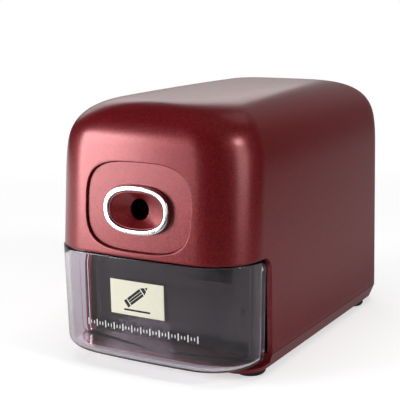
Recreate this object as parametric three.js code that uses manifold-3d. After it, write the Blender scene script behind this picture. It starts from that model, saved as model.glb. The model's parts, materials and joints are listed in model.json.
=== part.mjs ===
// Desktop electric pencil sharpener with a clear drawer for the shavings.
// Millimetres, +Z up, x to the right seen from the front, the front faces -Y, feet on Z = 0.
// Inside this file depths (y) grow rearwards from the housing's front at the parting line;
// the outer group moves the whole model back so that its middle stands on the origin.

import * as THREE from 'three';
import { mergeVertices } from 'three/addons/utils/BufferGeometryUtils.js';
import Module from 'manifold-3d';

const wasm = await Module();
wasm.setup();

// ---------------------------------------------------------------- clearances
const runningGap = 0.1; // round a turning or sliding piece
const seatGap = 0.3; // between pieces that rest on each other but don't move
const pressGap = 0.05; // between a press-fitted piece and its hole
const glueGap = 0.08; // between the label and the drawer it is glued to

// ---------------------------------------------------------------- enclosure
const halfWidth = 50; // at the parting line between housing and drawer
const housingHeight = 120.46; // without the roof's crown
const roofCrown = 1.25; // the crown lifts the roof's middle by this
const housingDepth = 164.5; // front to rear at the parting line
const wall = 2.4;
const partingHeight = 54.5;
const sideDraft = 0.76; // degrees
const frontDraft = 4.02;
const rearDraft = 0.71;
const frontBow = 2.57; // how far the front's middle stands out past its corners
const frontCornerRadius = 22.9;
const rearCornerRadius = 8.2;
// each upper edge is a superellipse: its size and its power
const sideEdge = { size: 37.4, power: 3.5 };
const frontEdge = { size: 18.1, power: 2.24 };
const rearEdge = { size: 17.7, power: 2.3 };

const footHeight = 3;
const footRadius = 7;
const baseHeight = 9.2; // where the base meets the housing
const baseFloor = 2.1;
const chamferInset = 2;
const baseFrontDepth = 15; // the base's front edge lies this far behind the housing's front
const baseFrontRadius = 12;
// feet and case screws: from the sides, from the front, and from the rear of the housing
const footPlaces = { frontSide: 9.7, front: 30.4, rearSide: 9, rear: 17.5 };
const caseScrewPlaces = { side: 8, front: 50, rear: 30.5 };
const caseScrew = { shank: 1.35, head: 3.3, headHeight: 2, length: 14 };
const screwPostHeight = 2.9; // the base's posts stand this far above its floor
const screwBossHeight = 34; // the housing's bosses above those posts
const screwPostWall = 1.8; // round the screws' heads
const screwBossWall = 3.2; // round the screws' threads
const cradle = { half: 10, length: 4, fromRear: 8 }; // the base's rest under the motor's rear
const footStem = 1.9; // radius of the stub that holds a foot in the base
const boardPostRadius = 2.5;
// the base's two pegs that place the chassis, this far behind its bulkhead
const peg = { radius: 1.9, height: 3.5, x: 20, behind: 4 };
const vents = { count: 5, width: 34, height: 2.4, pitch: 5.2, lowest: 62 };

// ---------------------------------------------------------------- drawer and its bay
const bayDepth = 31.85; // rear edge of the side cut that the drawer fills
const bayCornerRadius = 7;
const drawerSideDepth = 26; // the drawer's full-width walls end here
const drawerRearDepth = 33.4;
const drawerTubInset = 5; // the rear part of the drawer is narrower by this on each side
const drawerWall = 2;
const drawerStandout = 0.43; // the drawer stands out this far past the housing
const drawerTaper = 0.8; // the drawer narrows by this from top to bottom
const drawerBottomRadius = 5.4;
const drawerTopGap = 0.5;
const drawerFloorGap = 0.26;
const chuteHalf = 17; // half the width of the chute that leads the shavings into the drawer
const chuteLip = 45.5; // where the chute's floor passes through the bulkhead
const labelSize = { width: 27.6, height: 15.7, thickness: 0.25, middleX: 0.6, middleZ: 36.3 };

// ---------------------------------------------------------------- front panel
const pencilAxisHeight = 75.4;
const pencilHoleRadius = 4.75;
const panelMiddleHeight = 76.5;
const panelHalfWidth = 26.6;
const panelHalfHeight = 19.3;
const panelPower = 3.3;
const panelRecess = 2;
const panelThickness = 1.6;
const panelGap = 0.3;
const ringOuter = { x: 16.5, z: 10.5 };
const ringInner = { x: 14.3, z: 8.5 };
const ringPower = 2.45; // both ovals of the ring are superellipses of this power
const ringStandout = 2.7; // the chrome ring's front stands this far in front of the panel
const funnelDepth = 3.7; // from the ring's front to the round hole
const padRear = 9; // rear face of the thick pad that carries the panel

// ---------------------------------------------------------------- mechanism
const flangeThickness = 1.5; // pencil guide
const flangeReach = 2.6; // past the guide's sleeve
const guideWall = 1.8;
const leverThickness = 1.6;
const leverHalf = 2.6; // half the lever's height at its pin
const leverNeck = 1.5; // the full height reaches this far from the pin towards the finger
const leverTip = { height: 2.2, x: 2.6, slant: 0.4 }; // the finger's end, right of the pencil's axis
const leverPivotPlace = { inset: 2, above: 4.8 }; // from the gear cup's rim, and above the pencil's axis
const fingerRise = 2.3; // the finger hangs this low over the pencil's axis
const tailRise = 4.9; // and the tail's end this high over it
const tailPastPlunger = 1.4;
const plungerHalf = 1.1; // half the side of the start switch's square plunger
const leverSlot = 4; // room for the start lever between the pad and the gear cup
const webThickness = 2; // front of the gear cup
const rimThickness = 1.7; // round the ring gear's teeth
const saddleWall = 3; // of the chassis, under the gear cup
const cheekThickness = 1.4; // front cheek of the carrier
const rearCheekThickness = 3;
const ringModule = 0.9; // ring gear and cutter pinion
const ringTeeth = 36;
const pinionTeeth = 10;
const pinionWidth = 4.5;
const cutterTilt = 11.5; // degrees between the cutter's axis and the pencil's axis
const cutterRadius = 5.6;
const cutterFlutes = 10;
const fluteDepth = 1.2;
const cutterTwist = 100; // degrees over the cutter's length
const cutterLength = 21.5;
const cutterNeckRadius = 2.7;
const cutterNeckLength = 2.7; // from the pinion to the flutes
const axleRadius = 1.5;
const hubRadius = 6.1; // front journal of the carrier
const hubNeckRadius = 5.5;
const hubBore = 4.7;
const armRadius = 10;
const armThickness = 3;
const rearCheekRadius = 11;
const shaftRadius = 5; // rear journal of the carrier
const shaftLength = 12.4;
const bushWall = 1.6;
const bushLength = 4.6;
const plateThickness = 3; // bearing plate of the chassis
const chassisWall = 2.5;
const deckThickness = 2;
const deckHalf = 32;
const bulkheadMargin = 1.4; // the bulkhead reaches this far past the drawer's room
const chassisFoot = { half: 30, thickness: 2 };
const gussetHalf = 1; // half a gusset's thickness
const lowerGussetX = 26;
const plateMargin = { ends: 5, sides: 4 }; // the bearing plate past the motor plate's posts
const driveModule = 1;
const driveTeeth = 48;
const idlerSmallTeeth = 14;
const idlerLargeTeeth = 44;
const motorGearModule = 0.8;
const motorPinionTeeth = 12;
const gearWidth = 4.5;
const gearSpacing = 1.5; // between neighbouring planes of gears
const idlerOffset = 18; // the idler's axis lies this far to the right of the pencil's axis
const idlerAxleRadius = 2;
const idlerHubWall = 2.3;
const pinionOverhang = 0.4; // the motor's pinion past its gear, front and rear
const motorPlateThickness = 2;
const motorPlateShoulder = 10; // above the idler's axis the motor plate narrows
const motorRadius = 18;
const motorEndRoom = 1.7; // between the motor and the transformer's coil
const motorShaftRadius = 1.5;
const motorBushLengths = { front: 5, rear: 4 };
const motorNose = 8; // from the can's front to the armature's core
const endCapThickness = 3;
const canWall = 1.3;
const magnetThickness = 3.4;
const magnetEndRoom = 15; // the magnets are this much shorter than the motor
const armatureRadius = 12.6;
const armatureEndRoom = 21; // and the armature's core this much
const windingRadius = 3.2; // of the windings, whose middles lie windingOffset from the motor's axis
const windingOffset = 7.6;
const windingEnd = { radius: 10.6, length: 2.2 }; // the coils' bundles past the core
const commutatorRoom = 3.2; // from the core to the commutator
const commutatorLength = 6;
const commutatorRadius = 4;
const brushOuter = 8.1; // the brushes reach this far from the motor's axis
const brushSize = { start: 1, length: 3, half: 1.5 }; // start counts from the commutator's front
const brushArm = { thickness: 2.2, half: 3 }; // of the end cap, behind each brush
const motorScrewX = 9;
const standoffRadius = 3.5;
// the motor plate's posts: x, and height over the pencil's axis
const standoffs = [[-26, 18.6], [28, 19.6], [-24, -41.4], [33, -48.4]]
  .map(([x, above]) => [x, pencilAxisHeight + above]);
const smallScrew = { shank: 1.2, head: 2.6, headHeight: 1.2, length: 6 };
const leverPinRadius = 1.2;
const startSwitch = { x: 27, z: pencilAxisHeight - 11.4, width: 10, depth: 6, height: 14 };
const drawerSwitch = { x: 35, z: 27, width: 10, depth: 6, height: 14, plungerRadius: 1.3 };
const motorScrew = { ...smallScrew, length: 4.6 };
const inlet = {
  x: -22, z: 24, width: 21, height: 11, depth: 17, recess: 13, flange: 2.5, pinSpacing: 8.6, pinRadius: 1.2,
};
const transformer = { x: 0, rear: 29.5, width: 44, height: 38, thickness: 16, limb: 7, coilStandout: 4.5 };
// the board ends rearRoom in front of the rear case screws
const board = { x: 18 - halfWidth, front: 70, rearRoom: 14, width: 19, thickness: 1.6, lift: 6 };
const capacitor = { radius: 5, height: 15, x: -2, y: 12 }; // x and y from the board's middle
const rectifier = { width: 12, depth: 4, height: 9 };

// ---------------------------------------------------------------- shape helpers
const radians = (degrees) => degrees * Math.PI / 180;
const slope = (degrees) => Math.tan(radians(degrees));
const clamp = (value, low, high) => Math.min(high, Math.max(low, value));
const steps = (low, high, count) =>
  Array.from({ length: count + 1 }, (_, i) => low + (high - low) * i / count);
const sides = [-1, 1];

// Turns a geometry into a solid that can be joined and cut.
function solidOf(geometry) {
  const bare = geometry.clone();
  bare.deleteAttribute('normal');
  bare.deleteAttribute('uv');
  const merged = mergeVertices(bare, 1e-4);
  const corners = merged.index.array;
  const kept = [];
  for (let i = 0; i < corners.length; i += 3) {
    const [a, b, c] = [corners[i], corners[i + 1], corners[i + 2]];
    if (a !== b && b !== c && c !== a) kept.push(a, b, c);
  }
  const vertProperties = new Float32Array(merged.attributes.position.array);
  return new wasm.Manifold(new wasm.Mesh({ numProp: 3, vertProperties, triVerts: new Uint32Array(kept) }));
}

function geometryOf(solid) {
  const mesh = solid.getMesh();
  const geometry = new THREE.BufferGeometry();
  geometry.setAttribute('position', new THREE.BufferAttribute(new Float32Array(mesh.vertProperties), 3));
  geometry.setIndex(new THREE.BufferAttribute(new Uint32Array(mesh.triVerts), 1));
  geometry.computeVertexNormals();
  return geometry;
}

const combine = (how) => (first, ...others) =>
  geometryOf(others.reduce((sum, other) => sum[how](solidOf(other)), solidOf(first)));
const join = combine('add');
const cut = combine('subtract');
const common = combine('intersect');

// An outline is a list of [u, v] points. Along x they are (y, z), along y (x, z), along z (x, y).
const basis = (...axes) => new THREE.Matrix4().makeBasis(...axes.map((axis) => new THREE.Vector3(...axis)));
const uprights = {
  x: basis([0, 1, 0], [0, 0, 1], [1, 0, 0]),
  y: basis([1, 0, 0], [0, 0, 1], [0, -1, 0]),
  z: basis([1, 0, 0], [0, 1, 0], [0, 0, 1]),
};

function prism(axis, outline, low, high, holes = []) {
  const path = (points, target) => target.setFromPoints(points.map(([u, v]) => new THREE.Vector2(u, v)));
  const shape = path(outline, new THREE.Shape());
  shape.holes = holes.map((hole) => path(hole, new THREE.Path()));
  const geometry = new THREE.ExtrudeGeometry(shape, { depth: high - low, bevelEnabled: false });
  geometry.applyMatrix4(uprights[axis]);
  const start = { x: [low, 0, 0], y: [0, high, 0], z: [0, 0, low] }[axis];
  return geometry.translate(...start);
}

function box(x0, x1, y0, y1, z0, z1) {
  return new THREE.BoxGeometry(x1 - x0, y1 - y0, z1 - z0)
    .translate((x0 + x1) / 2, (y0 + y1) / 2, (z0 + z1) / 2);
}

// A box whose first two faces lie left or right of the middle, as side says.
function sideBox(side, near, far, ...others) {
  return box(Math.min(side * near, side * far), Math.max(side * near, side * far), ...others);
}

// Points on an ellipse or, with a power above 2, on a squarer superellipse.
function oval(radiusU, radiusV, count, [middleU, middleV] = [0, 0], power = 2) {
  const reach = (value) => Math.sign(value) * Math.abs(value) ** (2 / power);
  return Array.from({ length: count }, (_, i) => {
    const angle = 2 * Math.PI * (i + 0.5) / count;
    return [middleU + radiusU * reach(Math.cos(angle)), middleV + radiusV * reach(Math.sin(angle))];
  });
}
const circle = (radius, middle = [0, 0], count = 24) => oval(radius, radius, count, middle);
const rod = (axis, radius, low, high, middle, count = 24) =>
  prism(axis, circle(radius, middle, count), low, high);
const tube = (axis, outer, inner, low, high, middle, count = 24) =>
  prism(axis, circle(outer, middle, count), low, high, [circle(inner, middle, count)]);

// A turned part: [radius, height] points from the axis back to the axis, standing on +Z.
function turned(profile, [x, y, z], count = 24) {
  const points = profile.map(([radius, height]) => new THREE.Vector2(radius, height));
  return new THREE.LatheGeometry(points, count).rotateX(Math.PI / 2).translate(x, y, z);
}

// A closed skin through a stack of outlines of [x, y, z] points, capped at both ends.
function loft(outlines) {
  const count = outlines[0].length;
  const last = (outlines.length - 1) * count;
  const flat = (outline) => outline.map(([x, y, z], i, all) => {
    const level = all.every((point) => point[2] === all[0][2]);
    return new THREE.Vector2(x, level ? y : z);
  });
  const faces = [];
  for (let k = 0; k < last; k += count) {
    for (let i = 0; i < count; i += 1) {
      const [a, b] = [k + i, k + (i + 1) % count];
      faces.push([a, b, b + count], [a, b + count, a + count]);
    }
  }
  const anticlockwise = THREE.ShapeUtils.area(flat(outlines[0])) > 0 ? 1 : -1;
  const cap = (outline, start, turn) => {
    const corners = THREE.ShapeUtils.triangulateShape(flat(outline), []);
    const ordered = turn * anticlockwise > 0 ? corners : corners.map(([a, b, c]) => [c, b, a]);
    ordered.forEach((face) => faces.push(face.map((corner) => start + corner)));
  };
  cap(outlines[0], 0, -1);
  cap(outlines.at(-1), last, 1);
  const geometry = new THREE.BufferGeometry();
  geometry.setAttribute('position', new THREE.Float32BufferAttribute(outlines.flat(2), 3));
  geometry.setIndex(faces.flat());
  return solidOf(geometry).volume() < 0 ? turnedOut(geometry) : geometry;
}

function turnedOut(geometry) {
  const index = Array.from(geometry.index.array);
  geometry.setIndex(index.reverse());
  return geometry;
}

// ---------------------------------------------------------------- enclosure shapes
// Half of a rounded plan outline (front arc, front corner, rear corner), mirrored to close it.
function planOutline({ half, front, rear, frontRadius, rearRadius, z, bow = frontBow, fine = 1 }) {
  const lean = Math.atan(2 * bow * (half - frontRadius) / half ** 2);
  const arcEnd = half - frontRadius * (1 - Math.sin(lean));
  const bowAt = (x) => front + bow * (x / half) ** 2;
  const frontHalf = steps(0, arcEnd, 3).map((x) => [x, bowAt(x)]);
  const centre = [half - frontRadius, bowAt(arcEnd) + frontRadius * Math.cos(lean)];
  const frontCorner = steps(lean, Math.PI / 2, 6 * fine).slice(1)
    .map((angle) => [centre[0] + frontRadius * Math.sin(angle), centre[1] - frontRadius * Math.cos(angle)]);
  const rearCorner = steps(0, Math.PI / 2, 3 * fine)
    .map((angle) => [half - rearRadius * (1 - Math.cos(angle)), rear - rearRadius * (1 - Math.sin(angle))]);
  const right = [...frontHalf, ...frontCorner, ...rearCorner];
  const left = right.slice(1).reverse().map(([x, y]) => [-x, y]);
  return [...right, ...left].map(([x, y]) => [x, y, z]);
}

const frontAt = (z) => slope(frontDraft) * (z - partingHeight);
const rearAt = (z) => housingDepth - slope(rearDraft) * (z - partingHeight);
const halfAt = (z) => halfWidth - slope(sideDraft) * (z - partingHeight);

// The enclosure's outline at one height; inset gives the parallel inner wall.
function enclosureOutline(z, inset = 0) {
  const roundedBy = ({ size, power }) => {
    const room = size - inset;
    const share = clamp((z - (housingHeight - size)) / room, 0, 1);
    return room - room * (1 - share ** power) ** (1 / power);
  };
  const half = halfAt(z) - inset - roundedBy(sideEdge);
  return planOutline({
    half,
    front: frontAt(z) + inset + roundedBy(frontEdge),
    rear: rearAt(z) - inset - roundedBy(rearEdge),
    frontRadius: Math.min(frontCornerRadius - inset, half * 0.95),
    rearRadius: Math.min(rearCornerRadius - inset, half * 0.95),
    z,
  });
}

// How far the crown lifts a point of the shell: fully on the roof's middle, not at all lower down.
function crownLift([x, y, z]) {
  const middle = housingDepth / 2;
  const raised = clamp(1 + (z - housingHeight) / sideEdge.size, 0, 1) ** 2;
  return roofCrown * raised * (1 - (x / halfWidth) ** 2) * (1 - ((y - middle) / middle) ** 2);
}

// The enclosure as a solid from a given height to the roof, with the crown on top.
function enclosureSolid(bottom, inset = 0) {
  const roof = housingHeight - inset;
  const fine = [0, 0.2, 0.36, 0.5, 0.6, 0.69, 0.77, 0.84, 0.9, 0.94, 0.97, 0.99, 1];
  const shares = inset ? [0, 0.5, 0.69, 0.84, 0.94, 1] : fine;
  const levels = [bottom, ...shares.map((share) => roof - (sideEdge.size - inset) * (1 - share))];
  const middle = housingDepth / 2;
  const rings = [0.6, 0.2].map((share) =>
    enclosureOutline(roof, inset).map(([x, y, z]) => [x * share, middle + (y - middle) * share, z]));
  const lifted = [...levels.map((z) => enclosureOutline(z, inset)), rings[0]]
    .map((outline) => outline.map(([x, y, z]) => [x, y, z + crownLift([x, y, z + inset])]));
  const flatTop = rings[1].map(([x, y, z]) => [x, y, z + roofCrown]);
  return loft([...lifted, flatTop]);
}

// Leans a shape with the front wall, so that its depths count from that wall.
function leanWithFront(geometry) {
  const position = geometry.attributes.position;
  for (let i = 0; i < position.count; i += 1) {
    position.setY(i, position.getY(i) + frontAt(position.getZ(i)));
  }
  return geometry;
}

const panelOutline = (margin) => oval(panelHalfWidth + margin, panelHalfHeight + margin, 40,
  [0, panelMiddleHeight], panelPower);

// Everything in front of the side cut and below the parting line, with the cut's round corner.
function bayCut() {
  const corner = steps(0, Math.PI / 2, 5).map((angle) => [
    bayDepth - bayCornerRadius * (1 - Math.cos(angle)),
    partingHeight - bayCornerRadius * (1 - Math.sin(angle)),
  ]);
  const clear = 40;
  return prism('x', [[-clear, -clear], [bayDepth, -clear], ...corner, [-clear, partingHeight]],
    -2 * halfWidth, 2 * halfWidth);
}

// ---------------------------------------------------------------- finishes and the assembly
const finishes = {
  redMetallic: { color: 0x8e3238, roughness: 0.36, metalness: 0.6 },
  chrome: { color: 0xf0efee, roughness: 0.08, metalness: 1 },
  smokyClear: { color: 0x6a6168, roughness: 0.12, metalness: 0, transparent: true, opacity: 0.5 },
  blackPlastic: { color: 0x141315, roughness: 0.5, metalness: 0 },
  rubber: { color: 0x0d0d0d, roughness: 0.8, metalness: 0 },
  cream: { color: 0xf3ecd2, roughness: 0.5, metalness: 0 },
  steel: { color: 0xb9babb, roughness: 0.32, metalness: 1 },
  toolSteel: { color: 0x77797c, roughness: 0.28, metalness: 1 },
  whiteNylon: { color: 0xe6e3da, roughness: 0.45, metalness: 0 },
  bronze: { color: 0xa9793f, roughness: 0.5, metalness: 1 },
  copper: { color: 0xb5652f, roughness: 0.4, metalness: 1 },
  magnet: { color: 0x2c2c2f, roughness: 0.6, metalness: 0.3 },
  board: { color: 0x2f5a35, roughness: 0.5, metalness: 0 },
  tape: { color: 0xd7b545, roughness: 0.5, metalness: 0 },
};

const sharpener = new THREE.Group();

function piece(name, geometry, finish) {
  const mesh = new THREE.Mesh(geometry, new THREE.MeshStandardMaterial(finishes[finish]));
  mesh.name = name;
  sharpener.add(mesh);
  return mesh;
}

// ---------------------------------------------------------------- housing and base
const floorHeight = footHeight + baseFloor; // upper face of the base's floor
const postTop = floorHeight + screwPostHeight;
const screwSeat = footHeight + caseScrew.headHeight + 0.6;
const rearScrewY = housingDepth - caseScrewPlaces.rear;
const caseScrewAxes = [caseScrewPlaces.front, rearScrewY]
  .flatMap((y) => sides.map((side) => [side * (halfWidth - caseScrewPlaces.side), y]));
const frontFoot = [halfWidth - footPlaces.frontSide, footPlaces.front];
const rearFoot = [halfWidth - footPlaces.rearSide, housingDepth - footPlaces.rear];
const feetAxes = {
  foot_front_left: [-frontFoot[0], frontFoot[1]],
  foot_front_right: frontFoot,
  foot_rear_left: [-rearFoot[0], rearFoot[1]],
  foot_rear_right: rearFoot,
};
const guideRadius = pencilHoleRadius + guideWall;

// A boss for a case screw: a post under a rib that ties it to the side wall.
function screwBoss([x, y]) {
  const radius = caseScrew.shank + screwBossWall;
  const top = postTop + screwBossHeight;
  const rib = sideBox(Math.sign(x), Math.abs(x), halfWidth - wall / 2,
    y - wall / 2, y + wall / 2, baseHeight + seatGap, top);
  return join(rod('z', radius, postTop, top, [x, y], 16), rib);
}

function housingShell() {
  const shell = cut(enclosureSolid(baseHeight), enclosureSolid(baseHeight - 1, wall));
  const padMargin = 4;
  const pad = cut(
    leanWithFront(prism('y', panelOutline(padMargin), wall * 0.6, padRear + wall)),
    box(-halfWidth, halfWidth, padRear, padRear + halfWidth, 0, housingHeight),
  );
  const pocketFloor = panelRecess + panelThickness + seatGap;
  const pocket = leanWithFront(prism('y', panelOutline(panelGap), -panelHalfWidth, pocketFloor));
  const guideHole = rod('y', guideRadius + seatGap, 0, padRear + wall, [0, pencilAxisHeight]);
  const slots = Array.from({ length: vents.count }, (_, i) => {
    const z = vents.lowest + i * vents.pitch;
    return box(-vents.width / 2, vents.width / 2, housingDepth - 4 * wall, housingDepth + wall,
      z, z + vents.height);
  });
  const inletHole = box(
    inlet.x - inlet.width / 2 - seatGap, inlet.x + inlet.width / 2 + seatGap,
    housingDepth - 4 * wall, housingDepth + wall,
    inlet.z - inlet.height / 2 - seatGap, inlet.z + inlet.height / 2 + seatGap,
  );
  const pilots = caseScrewAxes.map((axis) =>
    rod('z', caseScrew.shank + runningGap, postTop - 1, postTop + caseScrew.length, axis, 12));
  return cut(join(shell, pad, ...caseScrewAxes.map(screwBoss)),
    bayCut(), pocket, guideHole, ...slots, inletHole, ...pilots);
}

// The base's outline: the housing's at its top, drawn in below by the chamfer, with its own front.
function baseOutline(z, inset = 0) {
  const drawnIn = inset + chamferInset * (baseHeight - z) / (baseHeight - footHeight);
  return planOutline({
    half: halfAt(baseHeight) - drawnIn,
    front: baseFrontDepth + drawnIn,
    rear: rearAt(baseHeight) - drawnIn,
    frontRadius: baseFrontRadius,
    rearRadius: rearCornerRadius - inset,
    z,
    bow: 0.4,
    fine: 2,
  });
}

const tubHalf = halfWidth - drawerTubInset;
const bulkheadDepth = drawerRearDepth + 1; // front face of the chassis's bulkhead

function baseTray() {
  const body = loft([baseOutline(footHeight), baseOutline(baseHeight)]);
  const high = baseHeight + 1;
  const level = (z) => baseOutline(baseHeight, wall).map(([x, y]) => [x, y, z]);
  const hollow = common(loft([level(floorHeight), level(high)]),
    box(-halfWidth, halfWidth, bulkheadDepth, 2 * housingDepth, floorHeight, high));
  const shelf = box(-2 * halfWidth, 2 * halfWidth, 0, bayDepth, floorHeight, high);
  const tubRoom = box(-tubHalf - 1, tubHalf + 1, 0, bulkheadDepth + 1, floorHeight, high);
  const post = (radius, top, axis) => rod('z', radius, floorHeight - 1, top, axis, 16);
  const posts = [
    ...caseScrewAxes.map((axis) => post(caseScrew.head + screwPostWall, postTop, axis)),
    ...sides.map((side) => post(peg.radius, floorHeight + peg.height, [side * peg.x, pegY])),
    ...boardEnds.map((y) => post(boardPostRadius, boardHeight, [board.x, y])),
  ];
  const rest = box(-cradle.half, cradle.half, motorRear - cradle.fromRear,
    motorRear - cradle.fromRear + cradle.length, floorHeight - 1, motorAxisHeight - motorRadius - seatGap);
  const counterbores = caseScrewAxes.flatMap((axis) => [
    rod('z', caseScrew.head + seatGap, footHeight - 1, screwSeat, axis, 16),
    rod('z', caseScrew.shank + seatGap, footHeight, postTop + 1, axis, 12),
  ]);
  const footHoles = Object.values(feetAxes).map((axis) =>
    rod('z', footStem + seatGap, footHeight - 1, floorHeight + 1, axis, 12));
  return cut(join(cut(body, hollow, shelf, tubRoom), ...posts, rest), ...counterbores, ...footHoles);
}

function foot([x, y]) {
  const edge = 0.8;
  const top = floorHeight - runningGap;
  return turned([[0, 0], [footRadius - edge, 0], [footRadius, edge], [footRadius, footHeight],
    [footStem, footHeight], [footStem, top], [0, top]], [x, y, 0], 20);
}

// A pan-head screw with a cross recess, its head's flat face at the given height, pointing up.
function upwardScrew({ shank, head, headHeight, length }, [x, y, z]) {
  const body = turned([[0, -headHeight], [head * 0.7, -headHeight], [head, -headHeight * 0.5], [head, 0],
    [shank, 0], [shank, length - shank], [0, length]], [0, 0, 0], 12);
  const reach = head * 0.55;
  const blade = 0.45;
  const depth = headHeight * 0.6;
  const recess = (halfX, halfY) => box(-halfX, halfX, -halfY, halfY, -2 * headHeight, depth - headHeight);
  return cut(body, recess(reach, blade), recess(blade, reach)).translate(x, y, z);
}

// ---------------------------------------------------------------- front panel and ring
const ringOval = (size, margin = 0) =>
  oval(size.x + margin, size.z + margin, 36, [0, pencilAxisHeight], ringPower);

function frontPanel() {
  const ringFront = panelRecess - ringStandout;
  const groove = panelThickness / 2;
  const plate = prism('y', panelOutline(0), panelRecess, panelRecess + panelThickness);
  const mouth = prism('y', ringOval(ringInner, -seatGap), ringFront + 0.4, panelRecess + panelThickness);
  const ringSeat = prism('y', ringOval(ringOuter, runningGap), 0, panelRecess + groove,
    [ringOval(ringInner, -seatGap)]);
  const at = (outline, y) => outline.map(([x, z]) => [x, y, z]);
  const lip = 0.9;
  const hole = circle(pencilHoleRadius, [0, pencilAxisHeight], 36);
  const funnel = loft([
    at(ringOval(ringInner, -seatGap - lip), ringFront - 0.2),
    at(ringOval(ringInner, -seatGap - lip), ringFront + 0.5),
    at(hole, ringFront + funnelDepth),
    at(hole, panelRecess + panelThickness + 1),
  ]);
  return leanWithFront(cut(join(cut(plate, ringSeat), mouth), funnel));
}

function bezelRing() {
  const ring = prism('y', ringOval(ringOuter), panelRecess - ringStandout,
    panelRecess + panelThickness / 2 - seatGap, [ringOval(ringInner)]);
  return leanWithFront(ring);
}

// ---------------------------------------------------------------- drawer and label
const drawerBottom = floorHeight + drawerFloorGap;
const drawerTop = partingHeight - drawerTopGap;
const drawerLean = (z) => drawerTaper * (partingHeight - z) / (partingHeight - drawerBottom) - drawerStandout;

// Horizontal section of the drawer; inset gives the inner wall, narrower the part inside the housing.
function drawerOutline(z, { inset = 0, narrower = 0, front = 0, rear }) {
  const radius = drawerBottomRadius - inset;
  const below = clamp(1 - (z - drawerBottom - inset) / radius, 0, 1);
  const drawnIn = drawerLean(z) + inset + radius * (1 - Math.sqrt(1 - below ** 2));
  return planOutline({
    half: halfWidth - drawnIn - narrower,
    front: front + drawnIn,
    rear: rear - inset,
    frontRadius: narrower ? 2 : frontCornerRadius - inset,
    rearRadius: 2,
    z,
    bow: narrower ? 0 : frontBow,
  });
}

function drawerSolid(inset, top) {
  const bend = steps(0, Math.PI / 2, 4).map((angle) =>
    drawerBottom + inset + (drawerBottomRadius - inset) * (1 - Math.cos(angle)));
  const through = (shape) => loft([...bend, top].map((z) => drawerOutline(z, { inset, ...shape })));
  const front = box(-2 * halfWidth, 2 * halfWidth, -halfWidth, drawerSideDepth - inset, 0, top + 1);
  return join(
    common(through({ rear: 2 * drawerRearDepth }), front),
    through({ narrower: drawerTubInset, front: 12, rear: drawerRearDepth }),
  );
}

function drawer() {
  const radius = bayCornerRadius - 2;
  const arc = steps(0, Math.PI / 2, 5).map((angle) =>
    [drawerSideDepth - radius * (1 - Math.cos(angle)), drawerTop - radius * (1 - Math.sin(angle))]);
  const corner = [...arc, [drawerSideDepth - radius, drawerTop + 1], [drawerSideDepth + 1, drawerTop + 1],
    [drawerSideDepth + 1, drawerTop - radius]];
  const corners = sides.map((side) =>
    prism('x', corner, ...[side * (tubHalf + 0.6), side * 2 * halfWidth].sort((a, b) => a - b)));
  const notch = box(-chuteHalf - 0.5, chuteHalf + 0.5, drawerRearDepth - 2 * drawerWall, drawerRearDepth + 1,
    chuteLip - 1.5, drawerTop + 1);
  return cut(drawerSolid(0, drawerTop), drawerSolid(drawerWall, drawerTop + 1), ...corners, notch);
}

function drawerLabel() {
  const { width, height, thickness, middleX, middleZ } = labelSize;
  const label = new THREE.BoxGeometry(width, thickness, height, 10, 1, 2).translate(middleX, 0, middleZ);
  const position = label.attributes.position;
  for (let i = 0; i < position.count; i += 1) {
    const bulge = frontBow * (position.getX(i) / halfWidth) ** 2;
    const surface = drawerLean(position.getZ(i)) + bulge;
    position.setY(i, position.getY(i) + surface - thickness / 2 - glueGap);
  }
  return label;
}

// ---------------------------------------------------------------- where the mechanism's planes lie
const pencilAxis = [0, pencilAxisHeight];
const cupFront = padRear + leverSlot;
const cupBack = cupFront + webThickness;
const cheekFront = cupFront + bushLength - 0.7;
const cheekBack = cheekFront + cheekThickness;
const planetOffset = ringModule * (ringTeeth - pinionTeeth) / 2; // pencil axis to pinion axis
const pinionTip = ringModule * (pinionTeeth / 2 + 0.8);
// the middle of the pinion's teeth, far enough back for its tilted edge to clear the cheek
const pinionDepth = cheekBack + 2 * seatGap + pinionTip * Math.sin(radians(cutterTilt)) + pinionWidth * 0.36;
const pinionStart = -pinionWidth * 0.38; // along the cutter's axis, counted from pinionDepth
const fluteStart = pinionStart + pinionWidth + cutterNeckLength;
const fluteEnd = fluteStart + cutterLength;
const cutterDirection = [0, Math.cos(radians(cutterTilt)), -Math.sin(radians(cutterTilt))];
const depthOnCutter = (along, radius) =>
  pinionDepth + along * cutterDirection[1] - radius * cutterDirection[2];
const rearCheekFront = depthOnCutter(fluteEnd, cutterRadius) + 0.5;
const rearCheekBack = rearCheekFront + rearCheekThickness;
const bearingPlateFront = rearCheekBack + 1.4;
const bearingPlateBack = bearingPlateFront + plateThickness;
const driveGearFront = bearingPlateBack + gearSpacing;
const largeGearFront = driveGearFront + gearWidth + gearSpacing;
const motorPlateFront = largeGearFront + gearWidth + gearSpacing;
const motorPlateBack = motorPlateFront + motorPlateThickness;
const motorFront = motorPlateBack + seatGap;
const transformerY = housingDepth - transformer.rear;
const motorRear = transformerY - transformer.thickness / 2 - transformer.coilStandout - motorEndRoom;
const motorLength = motorRear - motorFront;

const driveDistance = driveModule * (driveTeeth + idlerSmallTeeth) / 2;
const motorDistance = motorGearModule * (idlerLargeTeeth + motorPinionTeeth) / 2;
const idlerAxis = [idlerOffset, pencilAxisHeight - Math.sqrt(driveDistance ** 2 - idlerOffset ** 2)];
const motorAxisHeight = idlerAxis[1] - Math.sqrt(motorDistance ** 2 - idlerOffset ** 2);
const motorAxis = [0, motorAxisHeight];

const pegY = bulkheadDepth + chassisWall + peg.behind;
const boardHeight = floorHeight + board.lift;
const boardRear = rearScrewY - board.rearRoom;
const boardY = (board.front + boardRear) / 2;
const boardEnds = [0.17, 0.83].map((share) => board.front + (boardRear - board.front) * share);

// ---------------------------------------------------------------- gears
const directionTo = ([x0, z0], [x1, z1]) => Math.atan2(z1 - z0, x1 - x0);

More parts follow.
